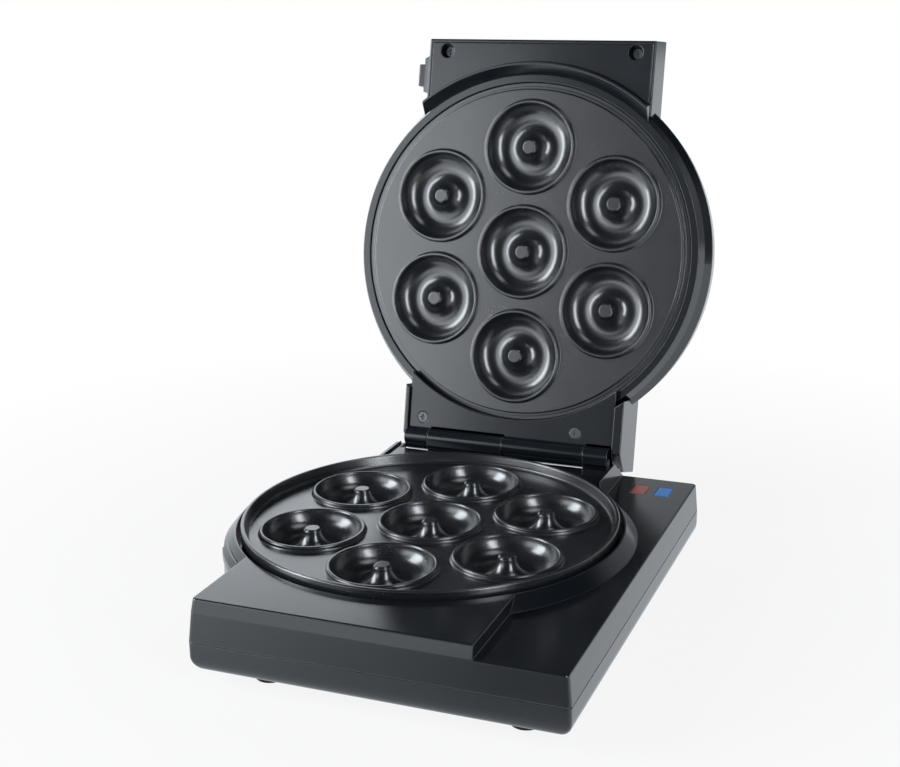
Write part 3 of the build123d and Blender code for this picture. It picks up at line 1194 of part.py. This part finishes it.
with BuildPart() as upper_release_button:
    with BuildSketch(LID_SIDE.offset(FLANGE_X)):
        with Locations((LID_BUTTON_Y, LID_BUTTON_Z)):
            Rectangle(LID_BUTTON_W, LID_BUTTON_H)
    extrude(amount=-(LID_BUTTON_OUT + HANDLE_RIM + 0.1))
    chamfer(upper_release_button.faces().sort_by(Axis.X)[0].edges(), 0.6)
    with BuildSketch(LID_SIDE.offset(FLANGE_X)):
        with Locations((LID_BUTTON_Y, LID_BUTTON_Z)):
            Rectangle(LID_BUTTON_W + 2 * FLANGE_EXTRA, LID_BUTTON_H + 2 * FLANGE_EXTRA)
    extrude(amount=FLANGE_T)
upper_release_button.part.label = "upper_release_button"
export_step(upper_release_button.part, "parts/upper_release_button.step")

spring_start = FLANGE_X + FLANGE_T + BUTTON_WIRE_R
spring_length = SEAT_X - spring_start - BUTTON_WIRE_R
spring_origin = LID.from_local_coords((spring_start, LID_BUTTON_Y, LID_BUTTON_Z))
with BuildPart() as upper_release_spring:
    with BuildLine() as coil:
        Helix(
            spring_length / BUTTON_SPRING_TURNS, spring_length, BUTTON_SPRING_R,
            center=spring_origin, direction=(1, 0, 0),
        )
    with BuildSketch(Plane(origin=coil.line @ 0, z_dir=coil.line % 0)):
        Circle(BUTTON_WIRE_R)
    sweep(path=coil.line)
upper_release_spring.part.label = "upper_release_spring"
export_step(upper_release_spring.part, "parts/upper_release_spring.step")

# ---------------------------------------------------------------- lid electrics
LID_BLOCK_Y = HINGE_Y - 3.3
LID_BLOCK_H = 7.0
LID_WIRE_Z = DRUM_UNDER_Z - 3.0
UPPER_END_Z = 2 * RING_Z + PLATE_GAP - HEATER_END_Z
UPPER_BLADE_Z = 2 * RING_Z + PLATE_GAP - BLADE_Z
with BuildPart() as lid_terminal_block:
    add(terminal_block(
        facing_down(LID, BAND_UNDER_Z), 0, LID_BLOCK_Y, 0, BLOCK_W, BLOCK_D, LID_BLOCK_H,
    ))
lid_terminal_block.part.label = "lid_terminal_block"
export_step(lid_terminal_block.part, "parts/lid_terminal_block.step")

block_front = LID_BLOCK_Y - BLOCK_D / 2
lid_paths = [
    [(THERMOSTAT_LEAD, 0, UPPER_BLADE_Z), (THERMOSTAT_LEAD, 0, LID_WIRE_Z),
     (HEATER_END_X, HEATER_END_Y, LID_WIRE_Z), (HEATER_END_X, HEATER_END_Y, UPPER_END_Z)],
    [(-HEATER_END_X, HEATER_END_Y, UPPER_END_Z), (-HEATER_END_X, HEATER_END_Y, LID_WIRE_Z),
     (6, 78, LID_WIRE_Z), (6, 96, LID_WIRE_Z - 2), (6, block_front, LID_WIRE_Z - 2)],
    [(-THERMOSTAT_LEAD, 0, UPPER_BLADE_Z), (-THERMOSTAT_LEAD, 0, LID_WIRE_Z), (-22, 20, LID_WIRE_Z),
     (-22, 80, LID_WIRE_Z), (-6, 90, LID_WIRE_Z - 2), (-6, block_front, LID_WIRE_Z - 2)],
]
with BuildPart() as lid_wiring:
    add(wires(LID, lid_paths))
lid_wiring.part.label = "lid_wiring"
export_step(lid_wiring.part, "parts/lid_wiring.step")
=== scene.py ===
from math import cos, radians, sin

import bpy
from bpy.props import FloatProperty, FloatVectorProperty, PointerProperty
from mathutils import Matrix, Vector

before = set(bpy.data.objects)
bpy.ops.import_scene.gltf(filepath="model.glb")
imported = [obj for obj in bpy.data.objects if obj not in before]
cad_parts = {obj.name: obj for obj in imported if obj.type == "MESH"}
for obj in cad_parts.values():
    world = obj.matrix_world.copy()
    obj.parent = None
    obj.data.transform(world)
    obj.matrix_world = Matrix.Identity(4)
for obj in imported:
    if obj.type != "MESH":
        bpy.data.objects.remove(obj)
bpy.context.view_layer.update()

bl_info = {
    "name": "Donut maker",
    "version": (1, 0, 0),
    "blender": (4, 5, 0),
    "location": "3D View > Sidebar > Donut maker",
    "description": "Finishes, lights and camera of an electric donut maker that stands open",
    "category": "Object",
}

MM = 0.001

PLASTIC_IOR = 1.72
COATING_IOR = 2.1
GLASS_IOR = 1.45

SENSOR_WIDTH = 36                       # millimetres
CAMERA_AIM = (5.82, -30.58, 116.36)     # millimetres
FLOOR_SIZE = 8.0
FLOOR_GLOW = 0.88                       # share of plain white in the floor near the appliance
ROOM_SIDE = (-0.75, 0.66, 0.0)          # the way to the bright side of the room

LAMP_AIM = (0.0, 0.0, 0.1)
LAMPS = (                               # name, place, width, height, watts
    ("left_strip", (-1.06, -0.56, 0.40), 0.50, 1.3, 15),
    ("front_left_softbox", (-0.78, -1.10, 0.42), 0.6, 0.8, 2.2),
    ("right_strip", (0.98, -0.69, 0.40), 0.30, 1.3, 9),
    ("back_left_softbox", (-1.25, 1.35, 0.57), 1.2, 0.9, 4.4),
    ("top_softbox", (0.62, -0.12, 1.4), 0.5, 0.5, 1.5),
)


# ---------------------------------------------------------------- sizes and colours
def colour(name, description, default):
    return FloatVectorProperty(name=name, description=description, default=default, subtype="COLOR",
                               size=3, min=0, max=1)


def length(name, description, default):
    return FloatProperty(name=name, description=description, default=default, subtype="DISTANCE",
                         unit="LENGTH", min=0)


def factor(name, description, default):
    return FloatProperty(name=name, description=description, default=default, subtype="FACTOR",
                         min=0, max=1)


def brightness(name, description, default):
    return FloatProperty(name=name, description=description, default=default, min=0)


class PlasticSettings(bpy.types.PropertyGroup):
    """The housings' and covers' plastic."""
    shell: colour("Housing", "Satin black of the housings and covers", (0.0095, 0.0118, 0.0155))
    button: colour("Button", "Black of the release buttons", (0.008, 0.009, 0.011))
    gloss: factor("Roughness", "How dull the housings' plastic is", 0.16)
    grain: length("Grain", "Size of the moulded grain", 0.00045)
    edge: length("Edge", "Radius of the moulded edges", 0.0007)
    rubber: colour("Rubber", "Black of the feet and the cord's gland", (0.018, 0.018, 0.018))


class PlateSettings(bpy.types.PropertyGroup):
    """The baking plates' coating."""
    coating: colour("Coating", "Dark grey of the non-stick coating", (0.012, 0.0135, 0.016))
    fleck: colour("Fleck", "The coating's fine mineral flecks", (0.026, 0.028, 0.032))
    gloss: factor("Roughness", "How dull the coating is", 0.24)
    fleck_size: length("Fleck size", "Distance between flecks", 0.0006)
    edge: length("Edge", "Radius of the cast edges", 0.0006)


class MetalSettings(bpy.types.PropertyGroup):
    """The metal pieces inside and the screws."""
    tube: colour("Heater", "Heat-stained steel of the elements", (0.30, 0.27, 0.24))
    sheet: colour("Sheet", "Bright sheet of the reflectors", (0.72, 0.72, 0.74))
    screw: colour("Screw", "Dark steel of the screws", (0.17, 0.174, 0.185))
    pin: colour("Pin", "Bright steel of the pin and springs", (0.55, 0.55, 0.56))


class LampSettings(bpy.types.PropertyGroup):
    """The two lights and the electrics."""
    red: colour("Red window", "Salmon red of the left light", (0.60, 0.115, 0.090))
    blue: colour("Blue window", "Blue of the right light", (0.015, 0.290, 0.850))
    board: colour("Board", "Brown laminate of the lamps' board", (0.30, 0.17, 0.06))
    insulation: colour("Wires", "Heat-proof sleeves of the wires", (0.70, 0.68, 0.60))


class StageSettings(bpy.types.PropertyGroup):
    """Camera, floor and lights."""
    azimuth: FloatProperty(name="Azimuth", description="The camera's turn to the right",
                           default=radians(21.7335), subtype="ANGLE", unit="ROTATION")
    elevation: FloatProperty(name="Elevation", description="The camera's height angle",
                             default=radians(16.4065), subtype="ANGLE", unit="ROTATION")
    roll: FloatProperty(name="Roll", description="The camera's tilt",
                        default=radians(-0.8025), subtype="ANGLE", unit="ROTATION")
    distance: length("Distance", "From the camera to the point it looks at", 0.74744)
    focal: FloatProperty(name="Focal length", description="Of a 36 mm wide sensor, in millimetres",
                         default=59.083, min=1)
    floor: colour("Floor", "The pale table", (0.86, 0.86, 0.86))
    surround: factor("Surround", "How bright the room is for the object's matt surfaces", 0.6)
    dim_side: factor("Dim side", "Brightness of the room on the front right", 0.2)
    dim_ceiling: factor("Dim ceiling", "Brightness of the room overhead", 0.05)
    dim_right: factor("Dim right", "Brightness of the room on the far right", 0.35)
    bright_table: brightness("Bright table", "Brightness of the table's front left in reflections", 1.4)
    dim_table: factor("Dim table", "Brightness of the table's front right in reflections", 0.3)
    tint: colour("Tint", "The lamps' and the room's slightly blue light", (0.90, 0.95, 1.0))


SETTINGS = (
    ("donut_plastic", PlasticSettings), ("donut_plates", PlateSettings), ("donut_metal", MetalSettings),
    ("donut_lamps", LampSettings), ("donut_stage", StageSettings),
)


# ---------------------------------------------------------------- shader maths
class Socket:
    """A shader value that takes part in sums like a number."""

    def __init__(self, shader, link):
        self.shader = shader
        self.link = link

    def sum(self, operation, *values, clamp=False):
        node = self.shader.node("ShaderNodeMath", {"operation": operation, "use_clamp": clamp},
                                dict(enumerate(values)))
        return Socket(self.shader, node.outputs[0])

    def __add__(self, other):
        return self.sum("ADD", self, other)

    __radd__ = __add__

    def __mul__(self, other):
        return self.sum("MULTIPLY", self, other)

    __rmul__ = __mul__

    def __sub__(self, other):
        return self.sum("SUBTRACT", self, other)

    def __rsub__(self, other):
        return self.sum("SUBTRACT", other, self)

    def clamped(self):
        return self.sum("ADD", self, 0.0, clamp=True)

    def ramped(self, low, high):
        """0 below low, 1 above high."""
        return self.sum("DIVIDE", self - low, high - low, clamp=True)


class Shader:
    """The node tree of a material with one Principled surface, or of a world."""

    def __init__(self, name, world=False):
        self.material = (bpy.data.worlds if world else bpy.data.materials).new(name)
        self.material.use_nodes = True
        self.tree = self.material.node_tree
        self.surface = self.tree.nodes["Background" if world else "Principled BSDF"]

    def node(self, kind, settings=None, sockets=None):
        """Add one node, with its settings first and then its sockets' values or links."""
        node = self.tree.nodes.new(kind)
        for key, value in (settings or {}).items():
            setattr(node, key, value)
        for key, value in (sockets or {}).items():
            self.feed(node.inputs[key], value)
        return node

    def feed(self, socket, value):
        if isinstance(value, Socket):
            self.tree.links.new(value.link, socket)
        elif isinstance(value, bpy.types.NodeSocket):
            self.tree.links.new(value, socket)
        elif hasattr(value, "__len__") and len(value) == 3 and socket.type == "RGBA":
            socket.default_value = (*value, 1)
        else:
            socket.default_value = value

    def value(self, node, output=0):
        return Socket(self, node.outputs[output])

    def place(self):
        """The point of the surface in the appliance's own metres."""
        return self.node("ShaderNodeTexCoord").outputs["Object"]

    def noise(self, size, detail=2.0, at=None):
        """Soft noise whose lumps are about as large as size."""
        node = self.node("ShaderNodeTexNoise", {"noise_dimensions": "3D"}, {
            "Vector": at or self.place(), "Scale": 1 / size, "Detail": detail,
        })
        return self.value(node, "Fac")

    def mix(self, mask, first, second):
        """One colour or the other."""
        node = self.node("ShaderNodeMix", {"data_type": "RGBA"}, {
            "Factor": mask, 6: first, 7: second,
        })
        return node.outputs[2]

    def rounded(self, radius):
        """The normal as if the edges were rounded."""
        return self.node("ShaderNodeBevel", {"samples": 6}, {"Radius": radius}).outputs[0]

    def edges(self, radius):
        """1 on an edge, 0 away from it."""
        flat = self.node("ShaderNodeNewGeometry").outputs["Normal"]
        dot = self.node("ShaderNodeVectorMath", {"operation": "DOT_PRODUCT"}, {
            0: self.rounded(radius), 1: flat,
        })
        return (1 - self.value(dot, "Value")).ramped(0.004, 0.12)

    def bump(self, height, depth, normal=None):
        """Relief from a height of 0 to 1 and its depth in metres."""
        sockets = {"Height": height, "Distance": depth, "Strength": 1.0}
        if normal is not None:
            sockets["Normal"] = normal
        return self.node("ShaderNodeBump", {}, sockets).outputs[0]

    def finish(self, **sockets):
        """Set the surface's sockets. Underscores stand for spaces."""
        for key, value in sockets.items():
            self.feed(self.surface.inputs[key.replace("_", " ")], value)
        return self.material


def wear(material, *nodes):
    """Give a material to solids of the model."""
    for name in nodes:
        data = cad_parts[name].data
        data.materials.clear()
        data.materials.append(material)


def moulded_plastic(name, tint, roughness, grain, edge):
    """Moulded plastic: fine grain, and a painted highlight that makes the soft edges a little lighter than
    the faces.
    """
    shader = Shader(name)
    cloud = shader.noise(0.03, 3.0)
    fine = shader.noise(grain, 2.0)
    highlight_edges = shader.edges(edge)
    # painted highlight: the edges are mixed towards this lighter colour where light would catch them
    painted_edge_highlight = tuple(min(1.0, c * 1.9 + 0.07) for c in tint)
    darker = tuple(c * 0.88 for c in tint)
    body = shader.mix(cloud.ramped(0.35, 0.65), darker, tint)
    return shader.finish(
        Base_Color=shader.mix(highlight_edges * 0.75, body, painted_edge_highlight),
        Roughness=(cloud - 0.5) * 0.08 + (fine - 0.5) * 0.05 + roughness,
        Normal=shader.bump(fine, 0.000006, shader.rounded(edge)),
        IOR=PLASTIC_IOR,
        Specular_IOR_Level=0.5,
    )


# ---------------------------------------------------------------- pieces
class DONUT_OT_housings(bpy.types.Operator):
    """Finish the housings, covers and the bezel in satin black plastic"""
    bl_idname = "donut.housings"
    bl_label = "Housings and covers"

    def execute(self, context):
        look = context.scene.donut_plastic
        plastic = moulded_plastic("satin_black_plastic", look.shell, look.gloss, look.grain, look.edge)
        wear(plastic, "base_upper_housing", "base_lower_housing", "lid_outer_shell", "lid_inner_frame",
             "lid_handle_cover", "lid_hinge_cover", "upper_release_bezel")
        return {"FINISHED"}


class DONUT_OT_buttons(bpy.types.Operator):
    """Finish the two plate release buttons"""
    bl_idname = "donut.buttons"
    bl_label = "Release buttons"

    def execute(self, context):
        look = context.scene.donut_plastic
        plastic = moulded_plastic("button_plastic", look.button, 0.2, look.grain, look.edge)
        wear(plastic, "upper_release_button", "lower_release_button")
        return {"FINISHED"}


class DONUT_OT_rubber(bpy.types.Operator):
    """Finish the feet and the cord's gland in rubber"""
    bl_idname = "donut.rubber"
    bl_label = "Rubber feet and gland"

    def execute(self, context):
        look = context.scene.donut_plastic
        shader = Shader("black_rubber")
        dust = shader.noise(0.004, 4.0)
        pores = shader.noise(0.0005, 2.0)
        grey = tuple(c + 0.02 for c in look.rubber)
        wear(shader.finish(
            Base_Color=shader.mix(dust.ramped(0.45, 0.75), look.rubber[:], grey),
            Roughness=0.62 + dust * 0.25,
            Normal=shader.bump(pores, 0.00002, shader.rounded(0.0006)),
            Specular_IOR_Level=0.35,
        ), "rubber_feet", "cord_gland")
        return {"FINISHED"}


class DONUT_OT_plates(bpy.types.Operator):
    """Finish the two baking plates in flecked non-stick coating"""
    bl_idname = "donut.plates"
    bl_label = "Baking plates"

    def execute(self, context):
        look = context.scene.donut_plates
        shader = Shader("non_stick_coating")
        fleck = shader.noise(look.fleck_size, 1.0)
        cloud = shader.noise(0.012, 3.0)
        highlight_edges = shader.edges(look.edge)
        body = shader.mix(fleck.ramped(0.58, 0.72), look.coating[:], look.fleck[:])
        # bright is a painted highlight: the coating is made lighter along its cast edges
        bright = tuple(c * 2.4 + 0.08 for c in look.coating)
        wear(shader.finish(
            Base_Color=shader.mix(highlight_edges * 0.6, body, bright),
            Roughness=look.gloss + (cloud - 0.5) * 0.08 + (fleck - 0.5) * 0.1,
            Normal=shader.bump(fleck, 0.000008, shader.rounded(look.edge)),
            IOR=COATING_IOR,
        ), "lower_baking_plate", "upper_baking_plate")
        return {"FINISHED"}


class DONUT_OT_heaters(bpy.types.Operator):
    """Finish the heating elements and thermostats"""
    bl_idname = "donut.heaters"
    bl_label = "Heaters and thermostats"

    def execute(self, context):
        look = context.scene.donut_metal
        shader = Shader("heat_stained_steel")
        stain = shader.noise(0.015, 4.0)
        blue = tuple(c * k for c, k in zip(look.tube, (0.55, 0.6, 0.8)))
        wear(shader.finish(
            Base_Color=shader.mix(stain.ramped(0.4, 0.7), look.tube[:], blue),
            Metallic=1.0,
            Roughness=stain * 0.2 + 0.3,
            Normal=shader.bump(shader.noise(0.0008), 0.00001),
        ), "lower_heating_element", "upper_heating_element", "lower_thermostat", "upper_thermostat")
        return {"FINISHED"}


class DONUT_OT_sheet(bpy.types.Operator):
    """Finish the heat reflectors, clips and the fuse in bright sheet"""
    bl_idname = "donut.sheet"
    bl_label = "Reflectors and clips"

    def execute(self, context):
        look = context.scene.donut_metal
        shader = Shader("bright_sheet")
        stretched = shader.node("ShaderNodeMapping", {}, {
            "Vector": shader.place(), "Scale": (1.0, 0.03, 1.0),
        }).outputs[0]
        rolled = shader.noise(0.0007, 3.0, stretched)
        haze = shader.noise(0.03, 3.0)
        yellowed = tuple(c * k for c, k in zip(look.sheet, (0.98, 0.9, 0.75)))
        wear(shader.finish(
            Base_Color=shader.mix(haze.ramped(0.5, 0.8), look.sheet[:], yellowed),
            Metallic=1.0,
            Roughness=rolled * 0.2 + 0.22,
            Normal=shader.bump(rolled, 0.000006, shader.rounded(0.0003)),
        ), "lower_heat_reflector", "upper_heat_reflector", "lower_heater_clips", "upper_heater_clips",
            "thermal_fuse")
        return {"FINISHED"}


class DONUT_OT_fasteners(bpy.types.Operator):
    """Finish the screws, the hinge pin and the springs"""
    bl_idname = "donut.fasteners"
    bl_label = "Screws, pin and springs"

    def execute(self, context):
        look = context.scene.donut_metal
        for name, tint, nodes in (
            ("blackened_screws", look.screw[:], (
                "base_screws", "lid_handle_screws", "lid_hinge_screws", "lower_reflector_screws",
                "upper_reflector_screws",
            )),
            ("bright_steel", look.pin[:], ("hinge_pin", "lower_release_spring", "upper_release_spring")),
        ):
            shader = Shader(name)
            highlight_edges = shader.edges(0.0003)
            scuffs = shader.noise(0.0006, 3.0)
            # painted highlight: the edges are made lighter where the scuff noise is high
            scuffed_edge_highlight = tuple(min(1.0, c * 2.5 + 0.05) for c in tint)
            wear(shader.finish(
                Base_Color=shader.mix(highlight_edges * scuffs, tint, scuffed_edge_highlight),
                Metallic=1.0,
                Roughness=scuffs * 0.2 + 0.28,
                Normal=shader.bump(scuffs, 0.000006, shader.rounded(0.0003)),
            ), *nodes)
        return {"FINISHED"}


class DONUT_OT_windows(bpy.types.Operator):
    """Finish the red and the blue light window"""
    bl_idname = "donut.windows"
    bl_label = "Light windows"

    def execute(self, context):
        look = context.scene.donut_lamps
        for name, tint in (("red_light_window", look.red), ("blue_light_window", look.blue)):
            shader = Shader(name)
            frosting = shader.noise(0.0005, 2.0)
            highlight_edges = shader.edges(0.0006)
            # pale is a painted highlight along the windows' edges
            pale = tuple(c + (1 - c) * 0.35 for c in tint)
            wear(shader.finish(
                Base_Color=shader.mix(highlight_edges * 0.7, tint[:], pale),
                Roughness=frosting * 0.1 + 0.2,
                Normal=shader.bump(frosting, 0.000006, shader.rounded(0.0005)),
                Subsurface_Weight=0.2,
                Subsurface_Radius=(0.002, 0.002, 0.002),
            ), name)
        return {"FINISHED"}


class DONUT_OT_electrics(bpy.types.Operator):
    """Finish the terminal blocks, the board, the lamps and the wires"""
    bl_idname = "donut.electrics"
    bl_label = "Electrics"

    def execute(self, context):
        look = context.scene.donut_lamps
        wear(moulded_plastic("terminal_plastic", (0.55, 0.53, 0.47), 0.45, 0.0005, 0.0004),
             "mains_terminal_block", "lid_terminal_block")
        board = Shader("board_laminate")
        weave = board.noise(0.0008, 2.0)
        dark = tuple(c * 0.7 for c in look.board)
        wear(board.finish(Base_Color=board.mix(weave, look.board[:], dark), Roughness=weave * 0.2 + 0.45,
                          Normal=board.bump(weave, 0.00001)), "indicator_board")
        glass = Shader("lamp_glass")
        ripple = glass.noise(0.002, 2.0)
        wear(glass.finish(Base_Color=(0.9, 0.85, 0.8), Roughness=ripple * 0.05 + 0.03, IOR=GLASS_IOR,
                          Normal=glass.bump(ripple, 0.00001), Transmission_Weight=0.8), "indicator_lamps")
        sleeve = Shader("woven_sleeve")
        braid = sleeve.noise(0.0004, 1.0)
        shade = tuple(c * 0.75 for c in look.insulation)
        wear(sleeve.finish(Base_Color=sleeve.mix(braid.ramped(0.4, 0.6), shade, look.insulation[:]),
                           Roughness=0.75, Normal=sleeve.bump(braid, 0.00003)), "base_wiring", "lid_wiring")
        return {"FINISHED"}


# ---------------------------------------------------------------- stage
def softbox(name, place, width, height, power, tint):
    """A rectangular lamp that looks at the appliance."""
    data = bpy.data.lights.new(name, "AREA")
    data.shape = "RECTANGLE"
    data.size = width
    data.size_y = height
    data.energy = power
    data.color = tint
    lamp = bpy.data.objects.new(name, data)
    aim = Vector(LAMP_AIM) - Vector(place)
    lamp.matrix_world = Matrix.Translation(place) @ aim.to_track_quat("-Z", "Y").to_matrix().to_4x4()
    bpy.context.scene.collection.objects.link(lamp)


class DONUT_OT_stage(bpy.types.Operator):
    """Set the camera, the floor, the surround and the lamps"""
    bl_idname = "donut.stage"
    bl_label = "Stage"

    def execute(self, context):
        scene = context.scene
        look = scene.donut_stage
        self.camera(scene, look)
        self.floor(look)
        self.surround(scene, look)
        for lamp in LAMPS:
            softbox(*lamp, look.tint[:])
        scene.view_settings.view_transform = "Standard"
        return {"FINISHED"}

    def camera(self, scene, look):
        """Look at the aim point from the front right and a little above."""
        across = Vector((cos(look.azimuth), sin(look.azimuth), 0))
        back = Vector((sin(look.azimuth) * cos(look.elevation), -cos(look.azimuth) * cos(look.elevation),
                       sin(look.elevation)))
        up = back.cross(across)
        right = across * cos(look.roll) + up * sin(look.roll)
        up = up * cos(look.roll) - across * sin(look.roll)
        aim = Vector(CAMERA_AIM) * MM
        data = bpy.data.cameras.new("camera")
        data.sensor_width = SENSOR_WIDTH
        data.lens = look.focal
        data.clip_start = 0.01
        camera = bpy.data.objects.new("camera", data)
        turn = Matrix((right, up, back)).transposed().to_4x4()
        camera.matrix_world = Matrix.Translation(aim + back * look.distance) @ turn
        scene.collection.objects.link(camera)
        scene.camera = camera

    def floor(self, look):
        """A pale table. Its glow for glossy rays is painted brighter on the front left and darker on the
        front right, which paints reflections on the appliance.
        """
        bpy.ops.mesh.primitive_plane_add(size=FLOOR_SIZE)
        floor = bpy.context.object
        floor.name = "floor"
        shader = Shader("pale_table")
        speck = shader.noise(0.02, 2.0)
        shader.finish(Base_Color=shader.mix(speck * 0.1, look.floor[:], (1, 1, 1)), Roughness=0.9,
                      Specular_IOR_Level=0.1)
        path = shader.node("ShaderNodeLightPath")
        seen = (shader.value(path, "Is Camera Ray") + shader.value(path, "Is Glossy Ray")
                + shader.value(path, "Is Transmission Ray")).clamped()
        spot = shader.node("ShaderNodeSeparateXYZ", {}, {0: shader.place()})
        # painted reflection: for glossy rays the table's front left glows brighter than white and its front
        # right dimmer
        bright = tuple(c * look.bright_table for c in look.tint)
        dark = tuple(c * look.dim_table for c in look.tint)
        front = shader.mix(shader.value(spot, "X").ramped(-0.16, 0.06), bright, dark)
        table = shader.mix(shader.value(spot, "Y").ramped(-0.15, -0.22), look.tint[:], front)
        white = shader.node("ShaderNodeEmission", {}, {
            "Color": shader.mix(shader.value(path, "Is Glossy Ray"), (1, 1, 1), table), "Strength": 1.0,
        })
        far = shader.node("ShaderNodeVectorMath", {"operation": "LENGTH"}, {0: shader.place()})
        away = shader.value(far, "Value").ramped(0.2, 0.5)
        glow = seen * (away * (1 - FLOOR_GLOW) + FLOOR_GLOW)
        blend = shader.node("ShaderNodeMixShader", {}, {
            0: glow, 1: shader.surface.outputs[0], 2: white.outputs[0],
        })
        output = shader.tree.nodes["Material Output"]
        shader.tree.links.new(blend.outputs[0], output.inputs[0])
        floor.data.materials.append(shader.material)

    def surround(self, scene, look):
        """A white room that is dimmer overhead, on the right and most on the front right."""
        room = Shader("surround", world=True)
        direction = room.node("ShaderNodeTexCoord").outputs["Generated"]
        bright_side = room.node("ShaderNodeVectorMath", {"operation": "DOT_PRODUCT"}, {
            0: direction, 1: ROOM_SIDE,
        })
        towards = room.node("ShaderNodeSeparateXYZ", {}, {0: direction})
        side = room.value(bright_side, "Value").ramped(-0.55, -0.05) * (1 - look.dim_side) + look.dim_side
        ceiling = 1 - room.value(towards, "Z").ramped(0.31, 0.50) * (1 - look.dim_ceiling)
        right = 1 - room.value(towards, "X").ramped(-0.45, 0.05) * (1 - look.dim_right)
        path = room.node("ShaderNodeLightPath")
        seen = (room.value(path, "Is Camera Ray") + room.value(path, "Is Transmission Ray")).clamped()
        mirrored = room.value(path, "Is Glossy Ray")
        level = side * ceiling * right * (mirrored * (1 - look.surround) + look.surround)
        scene.world = room.finish(Color=room.mix(seen, look.tint[:], (1, 1, 1)),
                                  Strength=seen + (1 - seen) * level)


# ---------------------------------------------------------------- panel and registration
OPERATORS = (
    DONUT_OT_stage, DONUT_OT_housings, DONUT_OT_buttons, DONUT_OT_rubber, DONUT_OT_plates,
    DONUT_OT_heaters, DONUT_OT_sheet, DONUT_OT_fasteners, DONUT_OT_windows, DONUT_OT_electrics,
)


class DONUT_PT_panel(bpy.types.Panel):
    """Settings and pieces of the donut maker"""
    bl_idname = "DONUT_PT_panel"
    bl_label = "Donut maker"
    bl_space_type = "VIEW_3D"
    bl_region_type = "UI"
    bl_category = "Donut maker"

    def draw(self, context):
        for name, group in SETTINGS:
            box = self.layout.box()
            box.label(text=group.__doc__)
            for key in group.__annotations__:
                box.prop(getattr(context.scene, name), key)
        for operator in OPERATORS:
            self.layout.operator(operator.bl_idname)


CLASSES = tuple(group for _, group in SETTINGS) + OPERATORS + (DONUT_PT_panel,)


def register():
    for item in CLASSES:
        bpy.utils.register_class(item)
    for name, group in SETTINGS:
        setattr(bpy.types.Scene, name, PointerProperty(type=group))


def unregister():
    for name, _ in SETTINGS:
        delattr(bpy.types.Scene, name)
    for item in reversed(CLASSES):
        bpy.utils.unregister_class(item)


def main():
    register()
    for operator in OPERATORS:
        section, name = operator.bl_idname.split(".")
        getattr(getattr(bpy.ops, section), name)()


if __name__ == "__main__":
    main()
